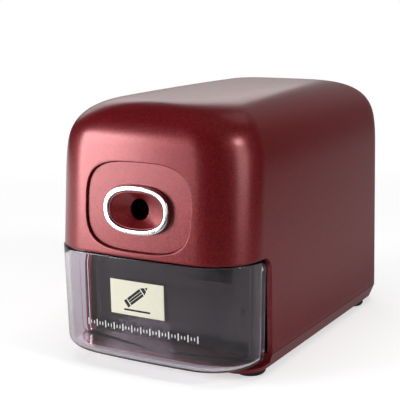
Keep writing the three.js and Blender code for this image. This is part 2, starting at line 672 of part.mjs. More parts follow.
// Gear teeth with straight flanks and running play. A tooth is centred on the phase angle.
function gearOutline({ teeth, module, middle = [0, 0], phase = 0, internal = false, grow = 0 }) {
  const pressure = slope(20);
  const play = 0.15 * module;
  const addendum = 0.8 * module;
  const dedendum = 1.15 * module;
  const outward = internal ? -1 : 1;
  const pitch = module * teeth / 2 + grow;
  const [tip, root] = [pitch + outward * addendum, pitch - outward * dedendum];
  const half = module * Math.PI / 4 - play;
  const [tipTurn, rootTurn] = [(half - addendum * pressure) / tip, (half + dedendum * pressure) / root];
  const tooth = [[root, -rootTurn], [tip, -tipTurn], [tip, tipTurn], [root, rootTurn]];
  return Array.from({ length: teeth }, (_, i) => phase + 2 * Math.PI * i / teeth)
    .flatMap((turn) => tooth.map(([radius, angle]) => [radius, turn + angle]))
    .map(([radius, angle]) => [middle[0] + radius * Math.cos(angle), middle[1] + radius * Math.sin(angle)]);
}

// The ring gear is the rim of a cup whose front web holds the carrier's front bearing.
// Its teeth narrow rearwards with the slope of the cutter's axis.
const ringRoot = ringModule * (ringTeeth / 2 + 1.15);
const cupRadius = ringRoot + rimThickness;
const toothStart = cheekBack + seatGap;
const toothEnd = pinionDepth + pinionWidth * 0.75;
const bearingSeat = hubRadius + runningGap + bushWall;
const leverPivot = [cupRadius - leverPivotPlace.inset, pencilAxisHeight + leverPivotPlace.above];

function ringGear() {
  const section = (y) => gearOutline({
    teeth: ringTeeth, module: ringModule, middle: pencilAxis, phase: Math.PI / 2, internal: true,
    grow: (pinionDepth - y) * slope(cutterTilt),
  }).map(([x, z]) => [x, y, z]);
  const cup = rod('y', cupRadius, cupFront, toothEnd, pencilAxis, 48);
  return cut(cup,
    rod('y', ringRoot - 0.2, cupBack, toothStart, pencilAxis, 36),
    loft([section(toothStart - 0.5), section(toothEnd + 1)]),
    rod('y', bearingSeat + pressGap, cupFront - 1, cupBack + 1, pencilAxis),
    rod('y', leverPinRadius + pressGap, cupFront - 1, cupBack + 1, leverPivot, 16));
}

function spurGear({ front, width = gearWidth, bore, count = 24, ...teeth }) {
  return prism('y', gearOutline(teeth), front, front + width, [circle(bore, teeth.middle, count)]);
}

const towardsIdler = directionTo(pencilAxis, idlerAxis);
const towardsMotor = directionTo(idlerAxis, motorAxis);
const halfPitch = (teeth) => Math.PI / teeth;

function driveGear() {
  return spurGear({
    front: driveGearFront, bore: shaftRadius + pressGap, teeth: driveTeeth, module: driveModule,
    middle: pencilAxis, phase: towardsIdler,
  });
}

function idlerGear() {
  const small = spurGear({
    front: driveGearFront, bore: idlerAxleRadius + runningGap, teeth: idlerSmallTeeth,
    module: driveModule, middle: idlerAxis,
    phase: towardsIdler + Math.PI + halfPitch(idlerSmallTeeth), count: 20,
  });
  const large = spurGear({
    front: largeGearFront, bore: idlerAxleRadius + runningGap, teeth: idlerLargeTeeth,
    module: motorGearModule, middle: idlerAxis, phase: towardsMotor, count: 20,
  });
  const hub = tube('y', idlerAxleRadius + runningGap + idlerHubWall, idlerAxleRadius + runningGap,
    bearingPlateBack + 0.2, motorPlateFront - 0.2, idlerAxis, 20);
  return join(small, large, hub);
}

function motorPinion() {
  return spurGear({
    front: largeGearFront - pinionOverhang, width: gearWidth + 2 * pinionOverhang,
    bore: motorShaftRadius + pressGap,
    teeth: motorPinionTeeth, module: motorGearModule, middle: motorAxis,
    phase: towardsMotor + Math.PI + halfPitch(motorPinionTeeth), count: 16,
  });
}

// ---------------------------------------------------------------- carrier and cutter
// Moves a shape built along +Z, radially outward along +Y, onto the cutter's tilted axis.
function onCutterAxis(geometry) {
  const [, cosine, minusSine] = cutterDirection;
  const place = basis([-1, 0, 0], [0, -minusSine, cosine], cutterDirection);
  place.setPosition(0, pinionDepth, pencilAxisHeight + planetOffset);
  return geometry.applyMatrix4(place);
}

function cutterPinion() {
  const teeth = gearOutline({
    teeth: pinionTeeth, module: ringModule, phase: Math.PI / 2 + halfPitch(pinionTeeth),
  });
  return onCutterAxis(prism('z', teeth, pinionStart, pinionStart + pinionWidth,
    [circle(cutterNeckRadius + pressGap, [0, 0], 20)]));
}

// Saw-toothed flutes that wind round the cutter.
function cutter() {
  const section = (share) => Array.from({ length: cutterFlutes }, (_, i) => i).flatMap((i) => {
    const start = 2 * Math.PI * i / cutterFlutes + radians(cutterTwist) * share;
    const tooth = [[cutterRadius, 0], [cutterRadius - fluteDepth, 0.8]];
    return tooth.map(([radius, part]) => {
      const angle = start + part * 2 * Math.PI / cutterFlutes;
      return [radius * Math.cos(angle), radius * Math.sin(angle), fluteStart + share * cutterLength];
    });
  });
  const flutes = loft(steps(0, 1, 10).map(section));
  const neck = rod('z', cutterNeckRadius, pinionStart, fluteStart + 1, [0, 0], 20);
  const bore = rod('z', axleRadius + runningGap, pinionStart - 1, fluteEnd + 1, [0, 0], 16);
  return onCutterAxis(cut(join(flutes, neck), bore));
}

const axleStart = (cheekFront - pinionDepth) / cutterDirection[1] - 0.2;
const axleEnd = (rearCheekBack - pinionDepth) / cutterDirection[1] - 0.8;
const cutterAxle = () => onCutterAxis(rod('z', axleRadius, axleStart, axleEnd, [0, 0], 16));

function carrier() {
  const lugHeight = planetOffset + axleStart * cutterDirection[2];
  const lug = 2.7;
  const arc = (radius, height, from, to, count) => steps(from * Math.PI, to * Math.PI, count)
    .map((angle) => [radius * Math.cos(angle), pencilAxisHeight + height + radius * Math.sin(angle)]);
  const bent = (radius) => arc(radius, 0, -1.025, 0.025, 16);
  const arm = [...bent(armRadius), ...bent(armRadius - armThickness).reverse()];
  const cheekOutline = [...arc(lug, lugHeight, 0, 1, 8), ...arc(armRadius, 0, -1.12, 0.12, 20)];
  const body = join(
    prism('y', cheekOutline, cheekFront, cheekBack),
    rod('y', hubRadius, cupFront + 0.2, cheekBack, pencilAxis),
    rod('y', hubNeckRadius, cheekBack - 0.5, depthOnCutter(fluteStart, -cutterRadius) - 0.6, pencilAxis),
    prism('y', arm, cheekBack - 0.5, rearCheekFront + 0.5),
    rod('y', rearCheekRadius, rearCheekFront, rearCheekBack, pencilAxis),
    rod('y', shaftRadius, rearCheekBack - 0.5, rearCheekBack + shaftLength, pencilAxis),
  );
  const pencilBore = rod('y', hubBore, cupFront - 1, depthOnCutter(fluteStart, 0), pencilAxis);
  const axleBore = onCutterAxis(rod('z', axleRadius + pressGap, axleStart - 2, axleEnd + 0.1, [0, 0], 16));
  return cut(body, pencilBore, axleBore);
}

const bushRadius = (bore) => bore + runningGap + bushWall;
const bush = (bore, front, length, middle, count) =>
  tube('y', bushRadius(bore), bore + runningGap, front, front + length, middle, count);

function pencilGuide() {
  const flange = tube('y', guideRadius + flangeReach, pencilHoleRadius, padRear, padRear + flangeThickness,
    pencilAxis);
  const sleeveFront = panelRecess + panelThickness + frontAt(pencilAxisHeight) + 1;
  return join(flange, tube('y', guideRadius, pencilHoleRadius, sleeveFront, padRear + 0.5, pencilAxis));
}

// ---------------------------------------------------------------- chassis
const deckBottom = partingHeight + 0.5;
const deckTop = deckBottom + deckThickness;

const screwHole = (front, back, axis) => rod('y', smallScrew.shank + runningGap, front, back, axis, 12);

function chassis() {
  const saddleRadius = cupRadius + saddleWall;
  const saddleFront = cupFront + 1;
  const saddle = join(
    rod('y', saddleRadius, saddleFront, toothEnd - 1, pencilAxis, 48),
    box(-saddleRadius, saddleRadius, saddleFront, toothEnd - 1, deckBottom, pencilAxisHeight),
  );
  const plateLow = standoffs[3][1] - plateMargin.ends;
  const plateHigh = standoffs[1][1] + plateMargin.ends;
  const plateLeft = standoffs[0][0] - plateMargin.sides;
  const plateRight = standoffs[3][0] + plateMargin.sides;
  const upperGussetX = deckHalf - gussetHalf;
  const upperGusset = [[bulkheadDepth, deckTop - 0.5], [bearingPlateFront + 1, deckTop - 0.5],
    [bearingPlateFront + 1, pencilAxisHeight]];
  const lowerGusset = [[bulkheadDepth + 1, deckBottom + 0.5], [bulkheadDepth + 1, floorHeight],
    [bulkheadDepth + 3 * chassisWall, floorHeight], [bearingPlateFront + 1, plateLow],
    [bearingPlateFront + 1, deckBottom + 0.5]];
  const chuteBack = bearingPlateFront - 2;
  const chute = prism('x', [
    [bulkheadDepth, chuteLip - 1.5], [bulkheadDepth, deckTop],
    [chuteBack, deckTop], [chuteBack, deckBottom - 1.5],
  ], -chuteHalf - chassisWall, chuteHalf + chassisWall);
  const body = join(
    box(-deckHalf, deckHalf, cupFront, bearingPlateFront + 1, deckBottom, deckTop),
    box(-tubHalf - bulkheadMargin, tubHalf + bulkheadMargin, bulkheadDepth, bulkheadDepth + chassisWall,
      floorHeight, deckTop),
    saddle,
    chute,
    box(plateLeft, plateRight, bearingPlateFront, bearingPlateBack, plateLow, plateHigh),
    ...sides.flatMap((side) => [
      prism('x', upperGusset, side * upperGussetX - gussetHalf, side * upperGussetX + gussetHalf),
      prism('x', lowerGusset, side * lowerGussetX - gussetHalf, side * lowerGussetX + gussetHalf),
    ]),
    box(-chassisFoot.half, chassisFoot.half, bulkheadDepth, pegY + peg.behind,
      floorHeight, floorHeight + chassisFoot.thickness),
    ...standoffs.map((axis) => rod('y', standoffRadius, bearingPlateBack - 1, motorPlateFront, axis, 16)),
  );
  const throughPlate = (radius, axis, count) =>
    rod('y', radius, bearingPlateFront - 1, bearingPlateBack + 1, axis, count);
  const chuteRoom = prism('x', [[bulkheadDepth - 1, chuteLip - 0.6], [bulkheadDepth - 1, deckTop + 1],
    [chuteBack - 1.5, deckTop + 1], [chuteBack - 1.5, deckBottom]], -chuteHalf, chuteHalf);
  return cut(body,
    chuteRoom,
    box(-chuteHalf, chuteHalf, toothEnd, bulkheadDepth, deckBottom - 1, deckTop + 1),
    rod('y', cupRadius + seatGap, cupFront - 1, toothEnd + seatGap, pencilAxis, 48),
    box(-halfWidth, halfWidth, 0, bulkheadDepth, 0, deckBottom),
    throughPlate(bushRadius(shaftRadius) + pressGap, pencilAxis, 24),
    throughPlate(idlerAxleRadius + pressGap, idlerAxis, 20),
    rod('y', drawerSwitch.plungerRadius + runningGap, 0, bulkheadDepth + 2 * chassisWall,
      [drawerSwitch.x, drawerSwitch.z], 16),
    ...standoffs.map((axis) => screwHole(motorPlateFront - 8, motorPlateFront + 1, axis)),
    ...sides.map((side) => rod('z', peg.radius + seatGap, 0, floorHeight + chassisFoot.thickness + 1,
      [side * peg.x, pegY], 16)));
}

// ---------------------------------------------------------------- motor
function motorPlate() {
  const corners = standoffs.map(([x, z]) => new THREE.Vector2(x, z));
  const margin = standoffRadius + 1;
  const [topLeft, topRight, lowLeft, lowRight] = corners;
  const outline = [
    [lowLeft.x - margin, lowLeft.y - margin], [lowRight.x + margin, lowRight.y - margin],
    [lowRight.x + margin, idlerAxis[1] + motorPlateShoulder], [topRight.x + margin, topRight.y + margin],
    [topLeft.x - margin, topLeft.y + margin],
  ];
  return prism('y', outline, motorPlateFront, motorPlateBack, [
    circle(bossRadius + runningGap, motorAxis, 20),
    circle(idlerAxleRadius + pressGap, idlerAxis, 20),
    ...[...motorScrewAxes, ...standoffs].map((axis) => circle(smallScrew.shank + runningGap, axis, 12)),
  ]);
}

const motorScrewAxes = sides.map((side) => [side * motorScrewX, motorAxisHeight]);
const bossRadius = bushRadius(motorShaftRadius);
const canInner = motorRadius - canWall;
const armatureFront = motorFront + motorNose;
const armatureLength = motorLength - armatureEndRoom;
const armatureRear = armatureFront + armatureLength;
const commutatorFront = armatureRear + commutatorRoom;
const capFront = motorRear - endCapThickness;

function motorCan() {
  return cut(
    rod('y', motorRadius, motorFront, motorRear, motorAxis, 48),
    rod('y', canInner, motorFront + canWall, motorRear + 1, motorAxis, 48),
    rod('y', bossRadius + pressGap, motorFront - 1, motorFront + canWall + 1, motorAxis, 20),
    ...motorScrewAxes.map((axis) => screwHole(motorFront - 1, motorFront + canWall + 1, axis)),
  );
}

function motorEndCap() {
  const near = brushOuter + runningGap;
  const arm = (side) => sideBox(side, near, near + brushArm.thickness, commutatorFront, capFront + 0.5,
    motorAxisHeight - brushArm.half, motorAxisHeight + brushArm.half);
  return cut(
    join(rod('y', canInner - runningGap, capFront, motorRear, motorAxis, 48), ...sides.map(arm)),
    rod('y', bossRadius + pressGap, capFront - 1, motorRear + 1, motorAxis, 20),
  );
}

function magnet(side) {
  const outer = canInner - runningGap;
  const bend = (radius) => steps(-0.95, 0.95, 12).map((angle) =>
    [side * radius * Math.cos(angle), motorAxisHeight + side * radius * Math.sin(angle)]);
  const beyond = (armatureEndRoom - magnetEndRoom) / 2; // the magnets reach past the core by this
  return prism('y', [...bend(outer), ...bend(outer - magnetThickness).reverse()],
    armatureFront - beyond, armatureRear + beyond);
}

const poleAngles = [0, 1, 2].map((i) => Math.PI / 6 + i * 2 * Math.PI / 3);
const windingMiddles = poleAngles.map((angle) => [
  windingOffset * Math.cos(angle),
  motorAxisHeight + windingOffset * Math.sin(angle),
]);

// Three-pole laminated core on the motor's shaft: round slots with narrow mouths between the poles.
function armature() {
  const mouth = (angle) => box(-1.1, 1.1, armatureFront - 1, armatureRear + 1, 8, armatureRadius + 1)
    .rotateY(Math.PI / 2 - angle).translate(0, 0, motorAxisHeight);
  const core = cut(
    rod('y', armatureRadius, armatureFront, armatureRear, motorAxis, 36),
    ...windingMiddles.map((middle) =>
      rod('y', windingRadius + 0.2, armatureFront - 1, armatureRear + 1, middle, 16)),
    ...poleAngles.map(mouth),
  );
  return join(core, rod('y', motorShaftRadius, largeGearFront - 1, motorRear + 1.2, motorAxis, 16));
}

function winding() {
  const end = (front) =>
    rod('y', windingEnd.radius, front, front + windingEnd.length, motorAxis, 24);
  const bars = windingMiddles.map((middle) =>
    rod('y', windingRadius, armatureFront - 1, armatureRear + 1, middle, 16));
  return cut(join(end(armatureFront - seatGap - windingEnd.length), end(armatureRear + seatGap), ...bars),
    rod('y', motorShaftRadius + seatGap, armatureFront - 5, armatureRear + 5, motorAxis, 16));
}

const brush = (side) => sideBox(side, commutatorRadius + runningGap, brushOuter,
  commutatorFront + brushSize.start, commutatorFront + brushSize.start + brushSize.length,
  motorAxisHeight - brushSize.half, motorAxisHeight + brushSize.half);

// ---------------------------------------------------------------- switches
const leverFront = padRear + flangeThickness + 0.4;
const leverMiddle = leverFront + leverThickness / 2;
const leverEnd = startSwitch.x + tailPastPlunger;
const fingerUnder = pencilAxisHeight + fingerRise;
const tailUnder = pencilAxisHeight + tailRise;

function startLever() {
  const [pivotX, pivotZ] = leverPivot;
  const outline = [
    [leverTip.x, fingerUnder], [pivotX - leverNeck, pivotZ - leverHalf], [pivotX, pivotZ - leverHalf],
    [leverEnd, tailUnder], [leverEnd, tailUnder + leverTip.height],
    [pivotX, pivotZ + leverHalf], [pivotX - leverNeck, pivotZ + leverHalf],
    [leverTip.x + leverTip.slant, fingerUnder + leverTip.height],
  ];
  return prism('y', outline, leverFront, leverFront + leverThickness,
    [circle(leverPinRadius + runningGap, leverPivot, 16)]);
}

function startSwitchBody() {
  const { x, z, width, height, depth } = startSwitch;
  const front = padRear + 0.4;
  const room = plungerHalf + runningGap;
  const body = box(x - width / 2, x + width / 2, front, front + depth, z, z + height);
  return cut(body,
    box(x - room, x + room, leverMiddle - room, leverMiddle + room, z + height - 6, z + height + 1));
}

function startPlunger() {
  const { x, z, height } = startSwitch;
  const climb = tailUnder - (leverPivot[1] - leverHalf);
  const under = tailUnder - climb * (leverEnd - x) / (leverEnd - leverPivot[0]);
  return box(x - plungerHalf, x + plungerHalf, leverMiddle - plungerHalf, leverMiddle + plungerHalf,
    z + height - 4, under - 0.25);
}

function drawerSwitchBody() {
  const { x, z, width, height, depth, plungerRadius } = drawerSwitch;
  const front = bulkheadDepth + chassisWall;
  return cut(box(x - width / 2, x + width / 2, front, front + depth, z - height / 2, z + height / 2),
    rod('y', plungerRadius + runningGap, front - 1, front + depth - 1, [x, z], 16));
}

function drawerPlunger() {
  const { x, z, plungerRadius } = drawerSwitch;
  return rod('y', plungerRadius, drawerRearDepth + runningGap, bulkheadDepth + chassisWall + 3.4, [x, z], 16);
}

// ---------------------------------------------------------------- power supply
function transformerCore() {
  const { x, width, height, thickness, limb } = transformer;
  const [front, back] = [transformerY - thickness / 2, transformerY + thickness / 2];
  const top = floorHeight + height;
  const opening = (side) => sideBox(side, limb, width / 2 - limb,
    front - 1, back + 1, floorHeight + limb, top - limb).translate(x, 0, 0);
  return cut(box(x - width / 2, x + width / 2, front, back, floorHeight, top), ...sides.map(opening));
}

function transformerCoil() {
  const { x, width, height, thickness, limb, coilStandout } = transformer;
  const y = transformerY;
  const half = width / 2 - limb - seatGap;
  const depth = thickness / 2 + coilStandout;
  const [low, high] = [floorHeight + limb + seatGap, floorHeight + height - limb - seatGap];
  return cut(box(x - half, x + half, y - depth, y + depth, low, high),
    box(x - limb - 0.2, x + limb + 0.2, y - thickness / 2 - 0.2, y + thickness / 2 + 0.2, low - 1, high + 1));
}

const boardTop = boardHeight + board.thickness;
const circuitBoard = () => box(board.x - board.width / 2, board.x + board.width / 2,
  board.front, boardRear, boardHeight, boardTop);

function mainsInlet() {
  const { x, z, width, height, depth, flange, pinSpacing, pinRadius, recess } = inlet;
  const rear = rearAt(z + height / 2) - 0.1;
  const front = rear - depth;
  const flangeRear = rearAt(z) - wall - seatGap - 0.4;
  const body = join(
    box(x - width / 2, x + width / 2, front, rear, z - height / 2, z + height / 2),
    box(x - width / 2 - flange, x + width / 2 + flange, flangeRear - 2, flangeRear,
      z - height / 2 - flange, z + height / 2 + flange),
  );
  const pinX = (side) => x + side * pinSpacing / 2;
  const lobe = (side) => rod('y', height / 2 - 1.3, rear - recess, rear + 1, [pinX(side), z], 20);
  const middle = box(pinX(-1), pinX(1), rear - recess, rear + 1, z - 3.4, z + 3.4);
  const pinHoles = sides.map((side) => rod('y', pinRadius + pressGap, front - 1, rear, [pinX(side), z], 12));
  return cut(body, lobe(-1), lobe(1), middle, ...pinHoles);
}

const inletPin = (side) => {
  const rear = rearAt(inlet.z) - inlet.depth;
  return rod('y', inlet.pinRadius, rear - 3, rear + inlet.recess,
    [inlet.x + side * inlet.pinSpacing / 2, inlet.z], 12);
};

const screwTowards = (side, spec, [x, z], y) =>
  upwardScrew(spec, [0, 0, 0]).rotateX(-side * Math.PI / 2).translate(x, y, z);

// ---------------------------------------------------------------- assembly
piece('housing_shell', housingShell(), 'redMetallic');
piece('base_tray', baseTray(), 'redMetallic');
piece('front_panel', frontPanel(), 'redMetallic');
piece('bezel_ring', bezelRing(), 'chrome');
piece('drawer', drawer(), 'smokyClear');
piece('drawer_label', drawerLabel(), 'cream');
piece('chassis', chassis(), 'blackPlastic');
Object.entries(feetAxes).forEach(([name, axis]) => piece(name, foot(axis), 'rubber'));
caseScrewAxes.forEach(([x, y], i) =>
  piece(`case_screw_${i + 1}`, upwardScrew(caseScrew, [x, y, screwSeat]), 'steel'));

piece('pencil_guide', pencilGuide(), 'blackPlastic');
piece('ring_gear', ringGear(), 'toolSteel');
piece('front_bearing', bush(hubRadius, cupFront - 0.1, bushLength - 1.2, pencilAxis, 24), 'bronze');
piece('rear_bearing', bush(shaftRadius, bearingPlateFront - 0.7, bushLength, pencilAxis, 24), 'bronze');
piece('carrier', carrier(), 'steel');
piece('cutter', cutter(), 'toolSteel');
piece('cutter_pinion', cutterPinion(), 'steel');
piece('cutter_axle', cutterAxle(), 'steel');

piece('drive_gear', driveGear(), 'whiteNylon');
piece('idler_gear', idlerGear(), 'whiteNylon');
piece('idler_axle',
  rod('y', idlerAxleRadius, bearingPlateFront, motorPlateBack, idlerAxis, 20), 'steel');
piece('motor_pinion', motorPinion(), 'bronze');

piece('motor_plate', motorPlate(), 'steel');
standoffs.forEach((axis, i) =>
  piece(`plate_screw_${i + 1}`, screwTowards(-1, smallScrew, axis, motorPlateBack), 'steel'));
motorScrewAxes.forEach((axis, i) =>
  piece(`motor_screw_${i + 1}`, screwTowards(1, motorScrew, axis, motorPlateFront), 'steel'));

piece('motor_can', motorCan(), 'steel');
piece('motor_end_cap', motorEndCap(), 'blackPlastic');
piece('magnet_left', magnet(-1), 'magnet');
piece('magnet_right', magnet(1), 'magnet');
piece('armature', armature(), 'steel');
piece('armature_winding', winding(), 'copper');
piece('commutator', tube('y', commutatorRadius, motorShaftRadius + pressGap, commutatorFront,
  commutatorFront + commutatorLength, motorAxis, 16), 'copper');
piece('brush_left', brush(-1), 'magnet');
piece('brush_right', brush(1), 'magnet');
piece('motor_front_bush', bush(motorShaftRadius, motorFront - 1.6,
  motorBushLengths.front, motorAxis, 20), 'bronze');
piece('motor_rear_bush', bush(motorShaftRadius, capFront - 0.5,
  motorBushLengths.rear, motorAxis, 20), 'bronze');

piece('start_switch', startSwitchBody(), 'blackPlastic');
piece('start_plunger', startPlunger(), 'blackPlastic');
piece('start_lever', startLever(), 'steel');
piece('lever_pin', rod('y', leverPinRadius, leverFront - 0.3, cupBack, leverPivot, 16), 'steel');
piece('drawer_switch', drawerSwitchBody(), 'blackPlastic');
piece('drawer_plunger', drawerPlunger(), 'blackPlastic');

piece('transformer_core', transformerCore(), 'steel');
piece('transformer_coil', transformerCoil(), 'tape');
piece('rectifier_board', circuitBoard(), 'board');
piece('capacitor', rod('z', capacitor.radius, boardTop, boardTop + capacitor.height,
  [board.x + capacitor.x, boardY + capacitor.y]), 'magnet');
piece('bridge_rectifier', box(board.x - rectifier.width / 2, board.x + rectifier.width / 2,
  boardY - rectifier.depth, boardY, boardTop, boardTop + rectifier.height), 'blackPlastic');
piece('mains_inlet', mainsInlet(), 'blackPlastic');
piece('inlet_pin_left', inletPin(-1), 'steel');
piece('inlet_pin_right', inletPin(1), 'steel');

// Stand the model's middle over the origin.
const middle = new THREE.Box3().setFromObject(sharpener).getCenter(new THREE.Vector3());
sharpener.position.set(-middle.x, -middle.y, 0);
sharpener.updateMatrixWorld(true);

export default sharpener;
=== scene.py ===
import bpy
import json
import math
import numpy as np
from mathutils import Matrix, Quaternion, Vector


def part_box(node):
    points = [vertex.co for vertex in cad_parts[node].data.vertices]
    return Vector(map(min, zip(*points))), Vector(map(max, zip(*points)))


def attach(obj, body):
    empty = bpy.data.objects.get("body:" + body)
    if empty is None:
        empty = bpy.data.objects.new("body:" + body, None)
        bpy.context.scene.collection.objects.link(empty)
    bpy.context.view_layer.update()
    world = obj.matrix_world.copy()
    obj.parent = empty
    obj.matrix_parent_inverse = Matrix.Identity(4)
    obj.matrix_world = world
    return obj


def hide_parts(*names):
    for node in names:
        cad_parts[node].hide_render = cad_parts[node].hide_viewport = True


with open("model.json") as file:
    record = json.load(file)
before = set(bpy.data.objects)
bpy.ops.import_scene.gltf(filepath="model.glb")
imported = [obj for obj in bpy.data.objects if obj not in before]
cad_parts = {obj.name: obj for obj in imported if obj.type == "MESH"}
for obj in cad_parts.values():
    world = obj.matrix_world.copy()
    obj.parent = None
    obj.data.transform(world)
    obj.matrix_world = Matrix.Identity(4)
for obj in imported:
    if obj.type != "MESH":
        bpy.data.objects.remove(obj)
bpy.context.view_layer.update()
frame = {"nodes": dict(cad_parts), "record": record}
nodes = frame["nodes"]
print("frame loaded:", len(nodes), "nodes")

# Shapes are worked out in millimetres, with depth y counted rearwards from the housing's front at
# the parting line, and moved into the frame at the end by this shift.
drawerRear = 33.4
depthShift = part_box("drawer")[1][1] * 1000 - drawerRear


# Quads between neighbouring rows and columns of a grid of points.
def gridFaces(rows, columns, closeRows=False, closeColumns=False, keep=None):
    r = np.arange(rows if closeRows else rows - 1)[:, None]
    c = np.arange(columns if closeColumns else columns - 1)[None, :]
    r2, c2 = (r + 1) % rows, (c + 1) % columns
    quads = np.stack([r * columns + c, r * columns + c2, r2 * columns + c2, r2 * columns + c], axis=-1)
    return quads[keep] if keep is not None else quads.reshape(-1, 4)


# One list of points and one of quads from several (points, quads) parts.
def joined(parts):
    starts = np.cumsum([0] + [len(part[0]) for part in parts])
    points = np.vstack([part[0] for part in parts])
    quads = np.vstack([part[1] + start for part, start in zip(parts, starts)])
    return points, quads


# Merges points that lie within 0.0001 mm and drops the quads that this collapses to a line. It gives
# the numbers of the points that stay, and the quads between them.
def welded(points, quads):
    keys = np.round(points * 1e4).astype(np.int64)
    first, ids = np.unique(keys, axis=0, return_index=True, return_inverse=True)[1:]
    quads = ids.reshape(-1)[quads]
    same = quads == np.roll(quads, -1, axis=1)
    crossed = (quads[:, 0] == quads[:, 2]) | (quads[:, 1] == quads[:, 3])
    return first, quads[(same.sum(axis=1) <= 1) & ~crossed]


def unit(vectors):
    return vectors / np.maximum(np.linalg.norm(vectors, axis=1, keepdims=True), 1e-12)


# Half the cross product of a quad's diagonals: its normal times its area.
def faceNormals(points, quads):
    a, b, c, d = (points[quads[:, i]] for i in range(4))
    return np.cross(c - a, d - b) / 2


# The faces' normals added up at each point, weighted by area, at length 1.
def pointNormals(points, quads):
    total = np.zeros_like(points)
    face = faceNormals(points, quads)
    for i in range(4):
        np.add.at(total, quads[:, i], face)
    return unit(total)


# Directed edges a to b that only one quad has, with the surface on their left.
def openEdges(quads):
    a, b = quads.reshape(-1), np.roll(quads, -1, axis=1).reshape(-1)
    real = a != b
    a, b = a[real], b[real]
    size = quads.max() + 1
    lone = ~np.isin(a * size + b, b * size + a)
    return a[lone], b[lone]


cornerReach = 1.5  # how many times further out an open edge may reach at a corner
sharpBend = math.radians(40)  # an edge between faces that bend more is shaded sharp


# Gives a surface a wall. Each open edge rolls inwards on a quarter circle: point + radius *
# (sin(angle) * outwards - (1 - cos(angle)) * normal). The inner skin is point - thickness * normal,
# and next to an open edge it lies as far out as the rolled edge does.
def shell(points, quads, thickness, edgeRadius=0.4, steps=4):
    normals = pointNormals(points, quads)
    a, b = openEdges(quads)
    along = unit(points[b] - points[a])
    outwards = np.zeros_like(points)
    np.add.at(outwards, a, unit(np.cross(along, normals[a])))
    np.add.at(outwards, b, unit(np.cross(along, normals[b])))
    rim = np.unique(np.concatenate([a, b]))
    length = np.linalg.norm(outwards[rim], axis=1, keepdims=True)
    # two edges that meet at a corner give a sum shorter than 2; the corner reaches further out
    outwards = unit(outwards[rim]) * np.clip(2 / np.maximum(length, 1e-12), 1, cornerReach)
    slot = np.zeros(len(points), dtype=int)
    slot[rim] = np.arange(len(rim))
    depth = np.broadcast_to(np.asarray(thickness, dtype=float), (len(points),))[:, None]
    allPoints, allQuads = [points], [quads]
    ring = np.arange(len(points))
    start = len(points)
    for angle in np.linspace(0, np.pi / 2, steps + 1)[1:]:
        row = points[rim] + edgeRadius * (np.sin(angle) * outwards - (1 - np.cos(angle)) * normals[rim])
        allPoints.append(row)
        fresh = start + slot
        allQuads.append(np.stack([ring[b], ring[a], fresh[a], fresh[b]], axis=1))
        ring, start = fresh, start + len(rim)
    inner = points - depth * normals
    inner[rim] = points[rim] + edgeRadius * outwards - depth[rim] * normals[rim]
    allPoints.append(inner)
    allQuads.append(quads[:, ::-1] + start)
    allQuads.append(np.stack([ring[b], ring[a], start + a, start + b], axis=1))
    return np.vstack(allPoints), np.vstack(allQuads)


# Puts points in millimetres and quads into a mesh that stands for CAD nodes. A quad whose corners i
# and i + 1 are one point becomes a triangle.
def makePiece(name, points, quads, material, body, slot, *cadNodes, smooth=True):
    points = points * 0.001 + np.array([0, depthShift * 0.001, 0])
    twice = (quads == np.roll(quads, -1, axis=1)).T
    triangle = twice.any(axis=0)
    corners = np.select([t[:, None] for t in twice], [np.delete(quads, i, axis=1) for i in range(4)])
    loops = np.concatenate([quads[~triangle].reshape(-1), corners[triangle].reshape(-1)])
    sizes = np.concatenate([np.full((~triangle).sum(), 4), np.full(triangle.sum(), 3)])
    starts = np.concatenate([[0], np.cumsum(sizes)[:-1]])
    mesh = bpy.data.meshes.new(name)
    mesh.vertices.add(len(points))
    mesh.vertices.foreach_set("co", points.reshape(-1))
    mesh.loops.add(len(loops))
    mesh.loops.foreach_set("vertex_index", loops.astype(np.int32))
    mesh.polygons.add(len(sizes))
    mesh.polygons.foreach_set("loop_start", starts.astype(np.int32))
    mesh.polygons.foreach_set("use_smooth", np.full(len(sizes), smooth))
    mesh.update(calc_edges=True)
    mesh.validate()
    if smooth:
        mesh.set_sharp_from_angle(angle=sharpBend)
    mesh.materials.append(material)
    piece = bpy.data.objects.new(name, mesh)
    bpy.context.scene.collection.objects.link(piece)
    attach(piece, body)
    if cadNodes:
        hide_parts(*cadNodes)


enclosure = {
    "halfWidth": 50, "depth": 164.5, "height": 120.46, "crown": 1.25, "parting": 54.5, "wall": 2.4,
    "sideDraft": 0.76, "frontDraft": 4.02, "rearDraft": 0.71,  # degrees
    "frontBow": 2.57, "frontCorner": 22.9, "rearCorner": 8.2,
    "cornerLimit": 0.95,  # a corner's radius takes no more than this share of the half width
    "sideEdge": (37.4, 3.5), "frontEdge": (18.1, 2.24), "rearEdge": (17.7, 2.3),  # size and power
    "baseTop": 9.2, "bayDepth": 31.85, "bayCorner": 7,
}


def slope(degrees):
    return math.tan(math.radians(degrees))


def frontAt(z):
    return slope(enclosure["frontDraft"]) * (z - enclosure["parting"])


# How far a superellipse edge draws in at height z: size - size * (1 - share^power)^(1/power).
def rounding(z, edge):
    size, power = enclosure[edge]
    share = np.clip((z - enclosure["height"]) / size + 1, 0, 1)
    return size - size * (1 - share ** power) ** (1 / power)


def halfAt(z):
    return enclosure["halfWidth"] - slope(enclosure["sideDraft"]) * (z - enclosure["parting"])


def bowed(x, half, bow):
    return bow * (x / half) ** 2


